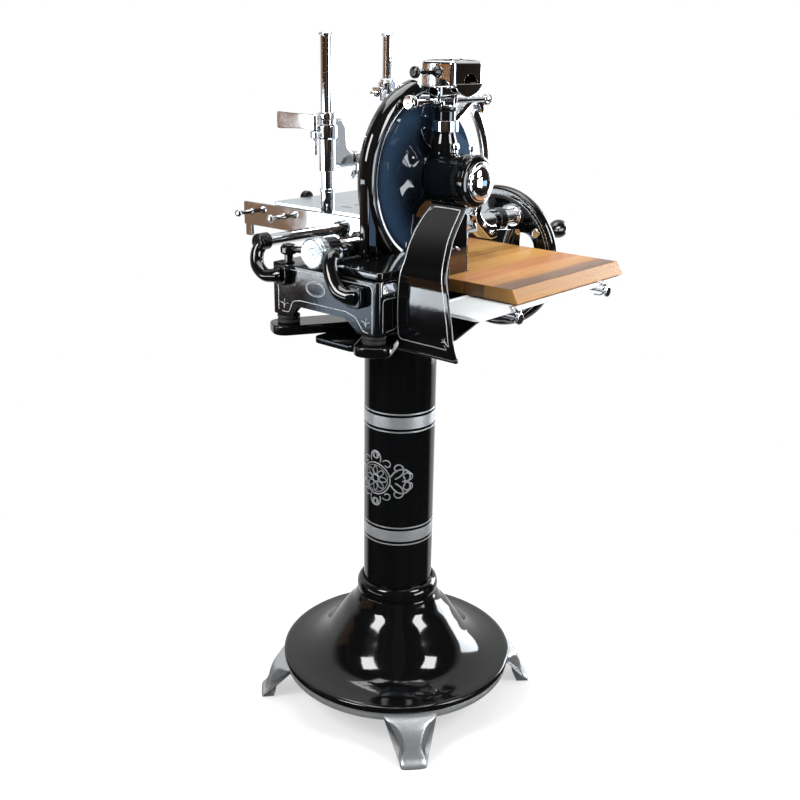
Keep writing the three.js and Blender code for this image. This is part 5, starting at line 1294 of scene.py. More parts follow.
# Black stove enamel with painted light: the rim black, and the dish coloured a deep blue as a painted
# reflection that fades to black towards the hub
guard_enamel_painted_reflection, tree, shader, place = new_material("black_enamel_painted_blue_reflection", "0a0a0b", 0.0, 0.025, 1.52)
from_hub = add_node(tree, "ShaderNodeVectorMath", {
    0: place, 1: tuple(metres((HUB_X, 0, HUB_Z))),
}, operation="SUBTRACT").outputs[0]
level_part = add_node(tree, "ShaderNodeVectorMath", {
    0: from_hub, 1: (1, 0, 1),
}, operation="MULTIPLY").outputs[0]
from_axis = add_node(tree, "ShaderNodeVectorMath", {0: level_part}, operation="LENGTH").outputs["Value"]
within = add_node(tree, "ShaderNodeMapRange", {
    "Value": from_axis, "From Min": 0.13, "From Max": 0.155, "To Min": 1.0, "To Max": 0.0,
}, interpolation_type="SMOOTHSTEP")
outward = add_node(tree, "ShaderNodeMapRange", {
    "Value": from_axis, "From Min": 0.06, "From Max": 0.125, "To Min": 0.15, "To Max": 1.0,
}, interpolation_type="SMOOTHSTEP")
painted_reflection_share = add_node(tree, "ShaderNodeMath", {
    0: within.outputs["Result"], 1: outward.outputs["Result"],
}, operation="MULTIPLY").outputs[0]
# The second shade, 25364a, is the painted blue reflection, mixed in where the share is high
dress(tree, shader, painted_reflection_share, ("0a0a0b", "25364a"), relief=grain(tree, place, 16.0), depth=0.012)
piece("guard_dish", guard_shells, guard_enamel_painted_reflection, "stand", ["guard_shell"])
rim_line = arc((HUB_X, HUB_Z), 155.0, 99, 224, 90)
rim_line = rim_line[rim_line[:, 1] > floor_z + 6]
points = np.column_stack([rim_line[:, 0], np.full(len(rim_line), -19.75), rim_line[:, 1]])
guard_lines = [brush_line(points, np.tile([0.0, -1, 0], (len(points), 1)), 2.0)]
piece("guard_stripe", guard_lines, silver_paint, "stand")

# Guard ring
# A flat ring of chromed steel round the open side of the blade. A bent arm joins it to a collar on
# the pillar, and a curved foot to the catch plate.
RING_FRONT = -14.0
ring_loop = np.concatenate([arc((HUB_X, HUB_Z), 181, -30, 41, 60), arc((HUB_X, HUB_Z), 163, 41, -30, 60)])
arm_loop = fillet([
    (80, 1162), (104, 1164), (128, 1176), (168, 1203), (184, 1205), (193, 1190), (207, 1184), (205, 1206),
    (191, 1222), (176, 1224), (160, 1216), (120, 1186), (100, 1178), (80, 1178),
], [0, 12, 20, 14, 6, 6, 4, 10, 12, 10, 20, 20, 8, 0])
foot_top = curve([(211, 1010), (215, 1003), (221, 997), (228, 984), (244, 970), (262, 962), (280, 960)], 6)
foot_under = curve([(281, 936), (262, 934), (246, 944), (228, 958), (212, 972), (204, 990), (196, 1000)], 6)
ring = [
    prism(ring_loop, RING_FRONT, RING_FRONT + 8, 1.6, "y"),
    prism(arm_loop, -26, -10, 2.5, "y"),
    prism(np.concatenate([foot_top[6:], foot_under[:-6]]), RING_FRONT, 4.0, 2.0, "y"),
    lathe([
        (19.4, 1160), (24, 1160), (25, 1161.5), (25, 1178.5), (24, 1180), (19.4, 1180),
    ], [0.4, 0.8, 1, 1, 0.8, 0.4], (HUB_X, PILLAR_Y, 0), "z", 80),
    prism(box_outline(80, 97, PILLAR_Y - 6, -14, 3), 1162, 1178, 1.5),
]
for x, z in [(262, 948), (238, 966)]:
    ring.append(lathe([
        (0, -14), (4.6, -14), (4.6, -16.6), (3.4, -17.6), (0, -17.8),
    ], [0, 0, 0.4, 0.8, 0], (x, 0, z), "y", 32))
piece("guard_ring_bar", ring, chrome, "stand", ["guard_ring"])

# Blade
# A round knife of ground and polished steel, bevelled to its edge on the guard's side and slightly
# hollow on the table's. It is set on the flange of its shaft.

# Ground and polished steel: a bright mirror blurred by grinding rings, drawn about 1.1 mm apart so
# that they show
blade_steel, tree, shader, place = new_material("ground_blade_steel", "c9ccd0", 1.0, 0.16, 1.5)
middle = tuple(metres((HUB_X, 0, HUB_Z)))
out = add_node(tree, "ShaderNodeVectorMath", {0: place, 1: middle}, operation="SUBTRACT").outputs[0]
radius_out = add_node(tree, "ShaderNodeVectorMath", {0: out}, operation="LENGTH").outputs["Value"]
ring_count = add_node(tree, "ShaderNodeMath", {0: radius_out, 1: 900.0}, operation="MULTIPLY").outputs[0]
grinding = add_node(tree, "ShaderNodeTexNoise", {
    "W": ring_count, "Scale": 1.0, "Detail": 3.0,
}, noise_dimensions="1D").outputs["Fac"]
dress(tree, shader, dull=grinding, roughness=(0.1, 0.24), relief=grinding, depth=0.008)
blade_profile = fillet([
    (5.3, 1), (112, 1), (129, 1.2), (143, 3.7), (143, 4.1), (130, 5), (124, 4.4), (60, 4.6), (58, 5),
    (5.3, 5),
], [0, 0, 3, 0, 0, 1, 2, 1, 1, 0])
piece(
    "round_blade", [turned(blade_profile, (HUB_X, 0, HUB_Z), "y", 256)], blade_steel,
    "blade", ["blade"],
)

# Shafts and gears
# Cut from steel bar: the blade's shaft with its pinion, the upright and the cross shaft with their
# bevel gears, and the gear on the flywheel's shaft. They run inside the base and the bracket.
def finished(node, material, edge):
    """Gives a solid of the frame its material and rounds its edges."""
    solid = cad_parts[node]
    solid.data.materials.clear()
    solid.data.materials.append(material)
    rounding = solid.modifiers.new("edges", "BEVEL")
    rounding.width = edge / 1000
    rounding.segments = 2
    rounding.limit_method = "ANGLE"
    rounding.angle_limit = math.radians(40)


for node in ("blade_shaft", "upright_shaft", "cross_shaft", "drive_gear"):
    finished(node, machined_steel, 0.25)

# Sharpener
# A chromed yoke on the pillar's top tilts about a spindle between a turned knob and a nut. On it sit a
# pressed, chromed cover with an arched opening, and under that the grinding and the honing stone.
TILT_Y, TILT_Z = -40.0, 1213.0
COVER_LOW, COVER_TOP = 1240.0, 1284.0
STONE_X, STONE_Z = 98.0, COVER_LOW + 18
KNOB_Z = COVER_LOW + 22
head_shells = [
    prism(box_outline(44, 80, TILT_Y - 14, TILT_Y + 6, 5), 1204.4, 1214, 1.2),
    lathe([(5.3, 42), (9, 42), (9, 82), (5.3, 82)], [0.3, 1, 1, 0.3], (0, TILT_Y, TILT_Z), "x", 64),
    lathe([
        (0, 1204.3), (18, 1204.3), (18, 1207), (0, 1207.3),
    ], [0, 0.8, 1, 0], (HUB_X, PILLAR_Y, 0), "z", 64),
]
piece("sharpener_base", head_shells, chrome, "stand", ["sharpener_head"])
yoke_shells = []
for x in (32.7, 82.3):
    cheek = fillet([
        (TILT_Y - 9, COVER_LOW - 2), (TILT_Y - 9, TILT_Z), (TILT_Y - 6.4, TILT_Z - 6.4),
        (TILT_Y, TILT_Z - 9), (TILT_Y + 6.4, TILT_Z - 6.4), (TILT_Y + 9, TILT_Z),
        (TILT_Y + 9, COVER_LOW - 2),
    ], [0, 3, 5, 6, 5, 3, 0])
    eye_hole = arc((TILT_Y, TILT_Z), 5.3, 0, 360, 32)[:-1]
    yoke_shells.append(prism([cheek, eye_hole], x, x + 9, 1.0, "x"))
yoke_shells += [
    prism(box_outline(32.7, 142, -56, 10, 5), 1224, COVER_LOW - 0.3, 2.0),
    prism(box_outline(54, 150, -62, 16, 8), COVER_LOW - 4, COVER_LOW - 0.3, 1.2),
]
for y in (-30, 9):
    lug = fillet([
        (92, COVER_LOW - 2), (104, COVER_LOW - 2), (104, COVER_LOW + 26), (92, COVER_LOW + 26),
    ], [0, 0, 5.5, 5.5])
    yoke_shells.append(prism([lug, arc((STONE_X, STONE_Z), 3.3, 0, 360, 32)[:-1]], y, y + 4, 0.6, "y"))
half_disc = np.concatenate([
    arc((104, COVER_LOW + 30), 50, 217, 323, 48), [(144, COVER_LOW + 3), (64, COVER_LOW + 3)],
])
yoke_shells.append(prism(half_disc, -65.2, -62.4, 0.9, "y"))
piece("sharpener_yoke", yoke_shells, chrome, "sharpener", ["sharpener_frame"])
spindle = [
    lathe([(0, -22), (5, -22), (5, 181), (0, 181)], [0, 0.5, 0.8, 0], (0, TILT_Y, TILT_Z), "x", 48),
    lathe([
        (0, -36), (3, -37), (10.5, -37), (12.6, -35), (13, -33), (13, -25), (11.5, -21.5), (6, -21),
        (0, -21),
    ], [0, 1, 1.5, 1, 1, 2, 2, 1, 0], (0, TILT_Y, TILT_Z), "x", 72),
]
piece("sharpener_spindle_bar", spindle, chrome, "clamp_spindle", ["sharpener_spindle"])
nut_profile = fillet([
    (0, 181.3), (6, 181.3), (6, 186.5), (9.6, 187.5), (10.6, 189), (10.6, 195.5), (9, 198), (0, 198),
], [0, 0.5, 0.5, 0.8, 0.8, 1, 1.5, 0], closed=False)
at_rim = (nut_profile[:, 0] > 9) & (nut_profile[:, 1] > 188) & (nut_profile[:, 1] < 196.5)
nut_rings = knurled(nut_profile, at_rim, 40, 0.035) @ AXES["x"] + (0, TILT_Y, TILT_Z)
nut = net(nut_rings, wrap_v=True)
piece("spindle_nut_knob", [nut], chrome, "clamp_spindle", ["spindle_nut"])

# The cover is pressed sheet, cut hollow, with openings for the stone and the knob's stem
cover_outer = box_outline(60, 150, -62, 16, 9, steps=8)
bend = np.radians([12, 24, 36, 48, 60, 72, 84])
lid_shape = [(0, COVER_LOW), (0, COVER_TOP - 8)]
lid_shape += list(zip(7 * (1 - np.cos(bend)), COVER_TOP - 8 + 6.8 * np.sin(bend)))
lid_shape += [(14, COVER_TOP - 0.5), (26, COVER_TOP), (34, COVER_TOP)]
lid_rows = [np.column_stack([inset(cover_outer, d), np.full(len(cover_outer), z)]) for d, z in lid_shape]
cover_shell = net(np.stack(lid_rows), wrap_v=True, caps=True)
hollow = prism(box_outline(62.6, 147.4, -59.4, 13.4, 6.5), COVER_LOW - 3, COVER_TOP - 3.5, 2.0)
arch = turned([(0, -66), (20, -66), (20, -57), (0, -57)], (112, 0, COVER_LOW), "y", 72)
knob_hole = turned([(0, 57), (4.8, 57), (4.8, 66), (0, 66)], (0, 0, KNOB_Z), "x", 32)
cut_shape(
    "sharpener_hood", cover_shell, [hollow, arch, knob_hole], chrome, "sharpener",
    ["sharpener_cover"], 0.5,
)
studs = []
for x in (92, 124):
    studs.append(lathe([
        (0, COVER_TOP - 1), (3.4, COVER_TOP - 1), (3.4, COVER_TOP + 2.5), (2.2, COVER_TOP + 3.8),
        (0, COVER_TOP + 3.9),
    ], [0, 0, 0.8, 0.8, 0], (x, -30, 0), "z", 32))
piece("hood_studs", studs, chrome, "sharpener")
knob_profile = fillet([
    (0, -38), (6, -38), (10.4, -35.5), (11, -32), (10.2, -28.5), (7.2, -24.5), (5.2, -20), (4.8, -12),
    (5.2, -4), (4.4, -1.8), (4.4, 8), (0, 8),
], [0, 3, 2.5, 2, 2, 4, 4, 6, 1, 0.4, 0.4, 0], closed=False)
piece(
    "stone_knob_grip", [turned(knob_profile + np.array([0, 60]), (0, 0, KNOB_Z), "x", 72)], phenolic,
    "stone_knob", ["stone_knob"],
)

# Stones
# Two wheels of bonded abrasive on short steel pins under the cover, a coarse one that grinds the
# blade's edge and a fine one that hones it.

# Bonded abrasive: chalky grey with a speckle of grit, drawn 0.7 mm across so that it shows
abrasive, tree, shader, place = new_material("bonded_abrasive", "8f8a82", 0.0, 0.92, 1.5)
grit = grain(tree, place, 0.7, detail=4)
speckle = add_node(tree, "ShaderNodeMapRange", {"Value": grit, "From Min": NOISE_LOW, "From Max": NOISE_HIGH})
dress(tree, shader, speckle.outputs["Result"], ("6f6b65", "aaa59c"), relief=grit, depth=0.12)
for name, y0, y1 in [("grinding_stone", -24, -8), ("honing_stone", -3, 12.7)]:
    wheel = fillet([
        (3, y0), (16, y0), (17, y0 + 1), (17, y0 + 7), (16, y0 + 8), (3, y0 + 8),
    ], [0.2, 0.6, 0.6, 0.6, 0.6, 0.2])
    piece(
        f"{name}_wheel", [turned(wheel, (STONE_X, 0, STONE_Z), "y", 72)], abrasive, name,
        [name],
    )
    pin = fillet([(0, y0 - 3), (3, y0 - 3), (3, y1), (0, y1)], [0, 0.4, 0.4, 0], closed=False)
    piece(
        f"{name}_pin", [turned(pin, (STONE_X, 0, STONE_Z), "y", 32)], machined_steel,
        name,
    )

# Oil cups
# Two brass cups, turned and chromed, with round lids. They are screwed into the top of the blade's
# housing and feed oil to its bearings.
cup = fillet([
    (0, 0), (4.5, 0), (4.5, 4.6), (6.3, 6), (6.5, 8), (6.5, 13), (5.6, 15.6), (3, 18), (0, 18.5),
], [0, 0.3, 0.5, 0.8, 0.5, 1, 1.5, 2, 0], closed=False)
for i, y in enumerate((-71, -108)):
    piece(
        f"oil_cup_{i + 1}_turned", [turned(cup, (HUB_X, y, HUB_Z + 47.3), "z", 48)], chrome,
        "stand", [f"oil_cup_{i + 1}"],
    )

# Flywheel
# Cast iron, turned on its rim, stoved black, with five round holes in its web and two silver lines
# on each side of the rim. It runs on a steel shaft in a cast bearing and carries the crank pin.
FLY_X = 430.5
FLY_RADIUS = 157.0
HOLE_RADIUS, HOLE_CIRCLE, HOLE_TURN = 33.0, 72.0, 85.0
CRANK_Y, CRANK_Z = -17.0, 927.0
RIM_HALF = 12.5
crown_angle = np.radians(np.linspace(-78, 78, 13))
rim_profile = np.column_stack([
    FLY_RADIUS - 9 + 9 * np.cos(crown_angle), RIM_HALF * np.sin(crown_angle) / math.sin(math.radians(78)),
])
side = fillet([
    (rim_profile[-1, 0], RIM_HALF), (139, RIM_HALF - 0.4), (134, RIM_HALF - 3), (131, 4.5), (36, 4.5),
    (33, 9), (30, RIM_HALF + 3.8), (10.4, RIM_HALF + 3.8),
], [0, 1.5, 3, 5, 4, 3, 1.5, 0.4], closed=False)
wheel_profile = np.concatenate([rim_profile, side[1:], (side[1:] * (1, -1))[::-1]])
web_holes = []
for i in range(5):
    angle_of = math.radians(HOLE_TURN + i * 72)
    v, w = FLY_Y + HOLE_CIRCLE * math.cos(angle_of), FLY_Z + HOLE_CIRCLE * math.sin(angle_of)
    web_holes.append(turned([
        (0, FLY_X - 30), (HOLE_RADIUS, FLY_X - 30), (HOLE_RADIUS, FLY_X + 30), (0, FLY_X + 30),
    ], (0, v, w), "x", 72))
wheel = turned(wheel_profile, (FLY_X, FLY_Y, FLY_Z), "x", 192)
cut_shape("flywheel_casting", wheel, web_holes, black_enamel, "flywheel", ["flywheel"], 1.4)
pin_boss = fillet([
    (0, -10), (11.4, -10), (12, -9), (14, -5), (14, 5), (12, 9), (11.4, 10), (0, 10),
], [0, 0.8, 1, 2, 2, 1, 0.8, 0], closed=False)
piece(
    "crank_boss", [turned(pin_boss, (FLY_X, CRANK_Y, CRANK_Z), "x", 56)], black_enamel,
    "flywheel",
)
lines = []
circle = np.linspace(0, 2 * np.pi, 181)
for side_of in (-1, 1):
    for radius in (146.5, 139.5):
        ring_path = np.column_stack([
            np.full(181, FLY_X + side_of * (RIM_HALF - 0.1)), FLY_Y + radius * np.cos(circle),
            FLY_Z + radius * np.sin(circle),
        ])
        lines.append(brush_line(ring_path, np.tile([float(side_of), 0, 0], (181, 1)), 1.5))
piece("flywheel_stripes", lines, silver_paint, "flywheel")
axle = lathe([(0, 74.2), (10, 74.2), (10, 448.6), (0, 448.6)], [0, 0.6, 0.6, 0], (0, FLY_Y, FLY_Z), "x", 64)
piece("flywheel_axle", [axle], machined_steel, "flywheel", ["flywheel_shaft"])
nut_shell = lathe([
    (0, 447.3), (16, 447.3), (16, 450.6), (0, 450.6),
], [0, 0.6, 0.6, 0], (0, FLY_Y, FLY_Z), "x", 64)
hex_loop = arc((FLY_Y, FLY_Z), 12.4, 0, 360, 6)[:-1]
cap_shell = lathe([
    (0, 458), (8, 458), (8, 459.6), (5, 461.2), (0, 461.3),
], [0, 0, 0.5, 2, 0], (0, FLY_Y, FLY_Z), "x", 48)
piece(
    "axle_nut", [nut_shell, prism(hex_loop, 450.6, 459.0, 1.0, "x"), cap_shell], chrome,
    "flywheel",
)
bearing_profile = fillet([
    (10.4, 205.4), (36, 205.4), (36, 213), (28, 222), (25, 240), (22, 330), (22, 372), (26, 380),
    (27.5, 384), (26, 407.2), (10.4, 407.2),
], [0.4, 1, 3, 8, 12, 30, 10, 4, 2, 1.5, 0.4])
bearing = turned(bearing_profile, (0, FLY_Y, FLY_Z), "x", 96)
low_cut = prism(box_outline(200, 236, 50, 130, 0), 800, 838, 0.01, steps=1)
top_cut = prism(box_outline(200, 227.5, 30, 150, 0), 895.5, 940, 0.01, steps=1)
cut_shape(
    "flywheel_bearing_casting", bearing, [low_cut, top_cut], black_enamel, "stand",
    ["flywheel_bearing"], 0.5,
)

# Crank handle
# A turned steel pin riveted through the flywheel's boss, with a free ball-ended grip of black
# phenolic turned to a waist.
pin_shells = [
    lathe([
        (0, 415.2), (8.6, 415.2), (10, 417), (10, 420.2), (0, 420.2),
    ], [0, 1.5, 1, 0.5, 0], (0, CRANK_Y, CRANK_Z), "x", 56),
    lathe([(0, 419), (6, 419), (6, 520), (0, 520)], [0, 0, 0.5, 0], (0, CRANK_Y, CRANK_Z), "x", 40),
    lathe([(0, 440.8), (9, 440.8), (9, 446.7), (0, 446.7)], [0, 0.8, 0.8, 0], (0, CRANK_Y, CRANK_Z), "x", 48),
]
piece("crank_pin", pin_shells, chrome, "flywheel", ["handle_pin"])
grip_line = curve([
    (9, 447), (11, 449.4), (9.6, 456), (8.8, 464), (9.2, 473), (11.6, 482), (15.8, 489.5), (19.3, 499),
    (20, 507.5), (18.6, 515.5), (14.5, 522.3), (8, 526.7), (0, 528),
], 8)
piece(
    "handle_grip_turned",
    [turned(
        np.concatenate([[(0, 521), (6.3, 521), (6.3, 447), (8, 447)], grip_line]), (0, CRANK_Y, CRANK_Z),
        "x", 96,
    )],
    phenolic, "grip", ["handle_grip"],
)

# Deflector
# A sheet iron shield, bent to an S and stoved black, that keeps the slices off the operator. Its
# lower edge is rolled to a bead, and silver lines with a small flourish follow its edges.
sheet_line = curve([
    (-66, 1052), (-70, 1047), (-111, 1005), (-139, 972), (-153, 950), (-158.5, 932), (-160.4, 912),
    (-161.2, 890), (-161.0, 868), (-159.6, 846), (-156.5, 830), (-150, 812),
], 8)
along = np.concatenate([[0], np.cumsum(np.hypot(*np.diff(sheet_line, axis=0).T))])
sheet_way = unit(np.gradient(sheet_line, axis=0))
sheet_out = np.column_stack([sheet_way[:, 1], -sheet_way[:, 0]])
back_edge = np.interp(along, [0, 8, 30, 60, 90, 118, 270], [-123, -121, -117.5, -117, -121, -127.6, -127.6])
front_edge = np.interp(
    along, [0, 12, 50, 75, 117, 165, 213, 245, 270],
    [-197, -199, -204, -209, -222, -238, -248, -251, -252.5],
)
rows = []
for (x, z), (out_x, out_z), back, front in zip(sheet_line, sheet_out, back_edge, front_edge):
    loop = np.array(fillet([(back, 0), (back, 5), (front, 5), (front, 0)], [1, 1, 2.4, 2.4]))
    rows.append(np.column_stack([x - out_x * loop[:, 1], loop[:, 0], z - out_z * loop[:, 1]]))
bead_path = np.column_stack([
    np.full(9, sheet_line[-1, 0] + 1.5), np.linspace(-127.6, -251, 9), np.full(9, sheet_line[-1, 1]),
])
bead = swept(bead_path, oval(9.5, 9.5, 20), ends=4)
deflector_shells = [net(np.stack(rows), wrap_v=True, caps=True), bead]
piece("deflector_sheet", deflector_shells, black_enamel, "stand", ["deflector"])


def on_deflector(path):
    """A path of (way down the sheet, Y) laid on the deflector's outer face, with its way out."""
    path = np.asarray(path, float)
    columns = [np.interp(path[:, 0], along, values) for values in (
        sheet_line[:, 0], sheet_line[:, 1], sheet_out[:, 0], sheet_out[:, 1],
    )]
    x, z, out_x, out_z = columns
    out = unit(np.column_stack([out_x, np.zeros(len(path)), out_z]))
    return np.column_stack([x, path[:, 1], z]) + out * 0.05, out


down = np.linspace(9, 250, 70)
left_line = np.column_stack([down, np.interp(down, along, back_edge) - 4.2])
right_line = np.column_stack([down, np.interp(down, along, front_edge) + 9.0])
corner = fillet([(240, left_line[-1, 1]), (257, left_line[-1, 1]), (257, -150)], [0, 9, 0], closed=False)
deflector_lines = [
    np.concatenate([left_line[down < 240], corner, [(257, -200), (257, -236)]]),
    right_line,
    [(7, -133), (7, -160), (8, np.interp(8, along, front_edge) + 9)],
]
for start, heading, length, bend in [
    ((250, -241), 120, 17, 5.5), ((250, -241), 150, 17, -5.5), ((243, -238), 100, 10, 4),
    ((257, -236), 170, 9, -4), ((9, -131), 20, 11, 5.0), ((7, -131), -70, 10, -5.0),
]:
    deflector_lines.append(scroll(start, heading, length, bend, 1.4, 24))
deflector_lines = [
    brush_line(*on_deflector(path), 2.0 if i < 3 else 1.2) for i, path in enumerate(deflector_lines)
]
piece("deflector_stripes", deflector_lines, silver_paint, "stand")
inner_face = (sheet_line - 5.3 * sheet_out)[(sheet_line[:, 1] > 826) & (sheet_line[:, 1] < 1022)]
rib_loop = np.concatenate([inner_face, [(-100, 872), (-74, 936)]])
piece(
    "deflector_web", [prism(rib_loop, -140, -126.4, 1.2, "y")], black_enamel, "stand",
    ["deflector_rib"],
)

# Board
# Strips of oiled hardwood glued side by side, end grain at the left, with one strip of dark heartwood
# and a bevelled front edge. Each strip's own colour runs along it in streaks.
BOARD_LOW, BOARD_TOP = 875.0, 900.0
BOARD_FRONT, BOARD_DEEP = -246.0, 250.0
# Oiled hardwood: honey, red and dark brown strips under a low sheen, with streaks along X about
# 4 mm wide and a broader figure that moves the strips' colours
oiled_wood, tree, shader, place = new_material("oiled_hardwood", "c8914f", 0.0, 0.3, 1.48)
across = add_node(tree, "ShaderNodeSeparateXYZ", {0: place})
streak = grain(tree, place, 4.0, stretch=(34, 1, 1), detail=4.0)
figure = grain(tree, place, 60.0, stretch=(3.5, 1, 1), detail=2.0)
# The strip is read a little to one side where the figure swells, so that heartwood ends unevenly
swell = add_node(tree, "ShaderNodeMath", {0: figure, 1: 0.5}, operation="SUBTRACT").outputs[0]
wander = add_node(tree, "ShaderNodeMath", {0: swell, 1: 0.045}, operation="MULTIPLY").outputs[0]
board_start = metres((0, BOARD_FRONT, 0))[1]
from_start = add_node(tree, "ShaderNodeMath", {
    0: across.outputs["Y"], 1: float(board_start),
}, operation="SUBTRACT").outputs[0]
strip_at = add_node(tree, "ShaderNodeMath", {
    0: from_start, 1: BOARD_DEEP / 1000,
}, operation="DIVIDE").outputs[0]
wandered = add_node(tree, "ShaderNodeMath", {0: strip_at, 1: wander}, operation="ADD").outputs[0]
# The strips' colours from above, then those of the end grain, each stop a place from 0 to 1
top_stops = [
    (0.0, "96661a"), (0.062, "8f6019"), (0.07, "594334"), (0.20, "745742"), (0.25, "ab7742"),
    (0.40, "bd8850"), (0.45, "b07248"), (0.60, "b77c4c"), (0.66, "c18f4e"), (0.84, "c59653"),
    (0.9, "b27d3e"), (1.0, "bf8e4a"),
]
end_stops = [
    (0.0, "a9782e"), (0.30, "8d6428"), (0.31, "4c3722"), (0.49, "6d4c2a"), (0.5, "8a6134"), (1.0, "94693a"),
]
ramps = []
for position, stops in [(wandered, top_stops), (strip_at, end_stops)]:
    ramp = add_node(tree, "ShaderNodeValToRGB", {0: position})
    for _ in range(len(stops) - 2):
        ramp.color_ramp.elements.new(0.5)
    for element, (at, code) in zip(ramp.color_ramp.elements, stops):
        element.position = at
        element.color = colour(code)
    ramps.append(ramp.outputs["Color"])
normal = add_node(tree, "ShaderNodeNewGeometry").outputs["True Normal"]
normal_x = add_node(tree, "ShaderNodeSeparateXYZ", {0: normal}).outputs["X"]
facing_x = add_node(tree, "ShaderNodeMath", {0: normal_x}, operation="ABSOLUTE").outputs[0]
at_end = add_node(tree, "ShaderNodeMath", {0: facing_x, 1: 0.8}, operation="GREATER_THAN").outputs[0]
base_colour = add_node(tree, "ShaderNodeMix", {
    0: at_end, 6: ramps[0], 7: ramps[1],
}, data_type="RGBA").outputs[2]
streaky = add_node(tree, "ShaderNodeMapRange", {
    "Value": streak, "From Min": 0.42, "From Max": 0.72, "To Max": 0.42,
})
darker = add_node(tree, "ShaderNodeMix", {
    0: streaky.outputs["Result"], 6: base_colour, 7: colour("6b4527"),
}, data_type="RGBA")
tree.links.new(darker.outputs[2], shader.inputs["Base Color"])
dress(tree, shader, dull=streak, roughness=(0.26, 0.42), relief=streak, depth=0.05)
strips = []
for y0, y1 in [(BOARD_FRONT, -169), (-169, -121), (-121, -74.5), (-74.5, -34), (-34, 4)]:
    x0 = 32 if y1 <= -74 else 113.5
    at_front = y0 == BOARD_FRONT
    front = [(y0, BOARD_LOW), (-231 if at_front else y0, BOARD_TOP)]
    front_radii = [1.5, 1.2] if at_front else [0.15, 0.15]
    loop = fillet(front + [(y1, BOARD_TOP), (y1, BOARD_LOW)], front_radii + [0.15, 0.3])
    strips.append(prism(loop, x0, 398, 0.9, "x"))
piece("carving_board", strips, oiled_wood, "stand", ["board"])

# Tray
# Pressed steel under the board, enamelled white, on a black stoved frame with two gussets and a post
# on the column head's arm.
TRAY_LOW, TRAY_TOP = 866.6, 874.6
# White vitreous enamel: a cool white gloss with faint clouds
white_enamel, tree, shader, place = new_material("white_enamel", "e4e8eb", 0.0, 0.12, 1.5)
clouds, peel = grain(tree, place, 70.0), grain(tree, place, 9.0)
dress(tree, shader, clouds, ("dde2e6", "eaedef"), relief=peel, depth=0.03)
tray_loop = fillet([
    (-93, -126.3), (-93, -254), (392, -254), (392, -4), (113.5, -4), (113.5, -126.3),
], [3, 18, 16, 8, 3, 3])
tray_rows = []
for distance, z in [
    (5.5, TRAY_LOW), (2.6, TRAY_LOW + 0.5), (0.8, TRAY_LOW + 2.0), (0, TRAY_LOW + 4), (0.5, TRAY_TOP - 2.0),
    (1.6, TRAY_TOP - 0.8), (3.0, TRAY_TOP - 0.2), (4.5, TRAY_TOP), (7.0, TRAY_TOP), (9.0, TRAY_TOP - 0.4),
    (11.0, TRAY_TOP - 1.6),
]:
    tray_rows.append(np.column_stack([inset(tray_loop, distance), np.full(len(tray_loop), z)]))
piece(
    "slice_tray", [net(np.stack(tray_rows), wrap_v=True, caps=True)], white_enamel, "stand",
    ["tray"],
)
gussets = []
for x, reach_y, low_z in [(-72, -234, 806), (14, -200, 847)]:
    gusset = fillet([
        (-126.4, 866.2), (reach_y, 866.2), (reach_y, 860), (-0.3 * reach_y - 256, low_z + 12),
        (-140, low_z), (-126.4, low_z),
    ], [0, 0, 3, 8, 4, 0])
    gussets.append(prism(gusset, x, x + 8, 0.8, "x"))
frame_shells = gussets + [
    prism(box_outline(-72, 312, -232, -220, 2), 859.3, 866.2, 0.8),
    prism(box_outline(PAD_X - 12, PAD_X + 12, -224, -70, 3), 858.4, 866.2, 1.0),
    lathe([
        (0, 822.4), (24, 822.4), (24, 827), (15, 828.5), (14, 832), (14, 865.2), (0, 865.2),
    ], [0, 0.8, 1, 3, 4, 0.5, 0], (PAD_X, PAD_FRONT, 0), "z", 56),
]
piece("tray_frame", frame_shells, black_enamel, "stand", ["tray_bracket"])

# Board straps
# Two bent straps of plated steel hook over the tray's edge under the board, each with a loose
# knurled screw that presses on the tray from behind.
STRAP_XS = (6, 302)
SCREW_Z = 859.3
strap_line = curve([
    (6, 877.6), (2.5, 877.7), (-1, 877.4), (-4, 875.4), (-6.4, 871), (-7.4, 865), (-6.8, 858),
    (-4.6, 853.4), (0, 851.2), (6, 850.8), (13, 850.8),
], 6)
strap_section = box_outline(-1.2, 1.2, -6, 6, 0.9, steps=2)
for i, x in enumerate(STRAP_XS):
    path = np.column_stack([np.full(len(strap_line), float(x)), strap_line + (-254.6, 0)])
    washer = prism(arc((x, SCREW_Z), 6.4, 0, 360, 32)[:-1], -265.0, -260.6, 1.0, "y")
    shells = [swept(path, strap_section, upright=(1, 0, 0)), washer]
    piece(f"board_strap_{i + 1}", shells, chrome, "stand", [f"board_clamp_{i + 1}"])
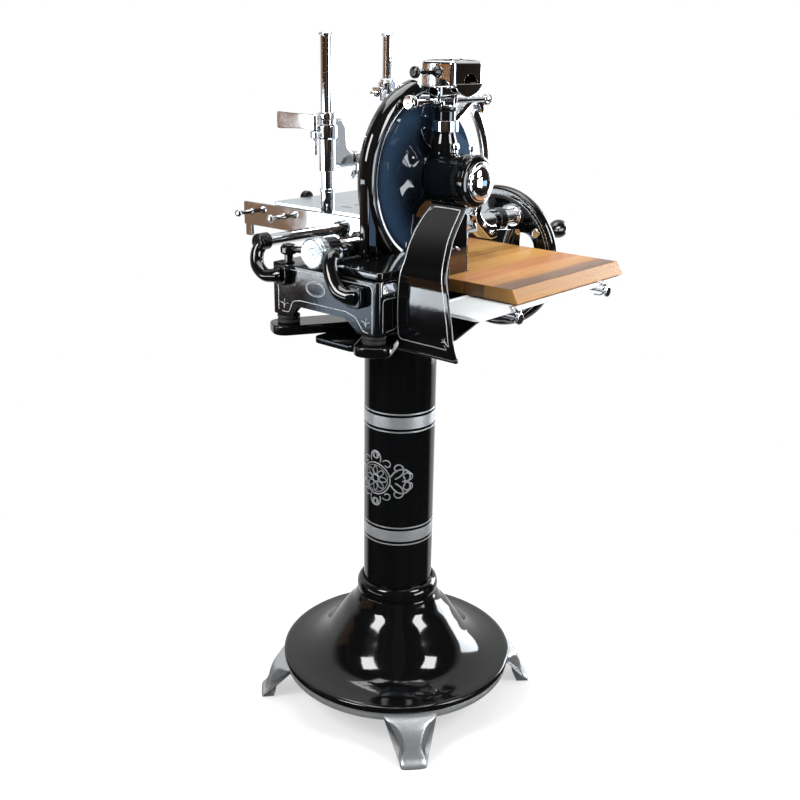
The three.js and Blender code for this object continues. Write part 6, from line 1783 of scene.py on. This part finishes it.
thumb_knob = fillet([
    (0, -271.3), (8.6, -271.3), (10, -270), (10, -266.6), (8.8, -265.3), (4, -265.3), (4, -263), (3, -262),
], [0, 0.6, 0.6, 0.6, 0.6, 0.3, 0.3, 0], closed=False)
thumb_rest = [(3, -219.9), (5.0, -219.7), (5.5, -218.5), (5.5, -216.6), (4.6, -215.8), (0, -215.7)]
screw_profile = np.concatenate([thumb_knob, thumb_rest])
screw_rings = knurled(screw_profile, screw_profile[:, 0] > 9.4, 32, 0.03)[:, ::-1, [0, 2, 1]]
for i, x in enumerate(STRAP_XS):
    screw = net(screw_rings + (x, 0, SCREW_Z), wrap_v=True)
    name = f"thumb_screw_{i + 1}"
    piece(f"strap_screw_{i + 1}", [screw], chrome, name, [name])

# Catch plate
# Chromed steel sheet behind the board, under the guard ring's foot. It is cut to an outline and
# riveted to the base's right end by a bent flange.
catch_loop = fillet([
    (205.4, 876.2), (391.8, 876.2), (391.8, 930), (386, 938), (300, 947), (246, 951), (205.4, 951),
], [0.5, 3, 6, 6, 20, 8, 1])
catch_shells = [
    prism(catch_loop, 4.5, 7.8, 0.8, "y"), prism(box_outline(205.3, 209, 4.5, 34, 0.8), 880, 927, 0.6),
]
for z in (890, 917):
    head = fillet([(0, 209), (5, 209), (5, 211), (3.6, 212.4), (0, 212.8)], [0, 0, 0.6, 0.8, 0], closed=False)
    catch_shells.append(turned(head, (0, 21, z), "x", 32))
piece("catch_plate_sheet", catch_shells, chrome, "stand", ["catch_plate"])

# Side plate
# A steel plate, ground and darkly polished, that stands before the bracket's post and hides the gears
# from the board.

# Ground steel with a dark polish: it mirrors the board and stays darker than the chrome
dark_steel, tree, shader, place = new_material("dark_mirror_steel", "74777c", 1.0, 0.06, 1.5)
clouds, haze = grain(tree, place, 50.0), grain(tree, place, 30.0)
dress(tree, shader, clouds, ("64676c", "80838a"), haze, (0.04, 0.09))
side_loop = fillet([(36, 900.4), (98.5, 900.4), (97.5, 1011), (36, 1016)], [0.5, 1, 6, 2])
piece(
    "side_plate_sheet", [prism(side_loop, -76.2, -73.4, 0.7, "y")], dark_steel, "stand",
    ["side_plate"],
)
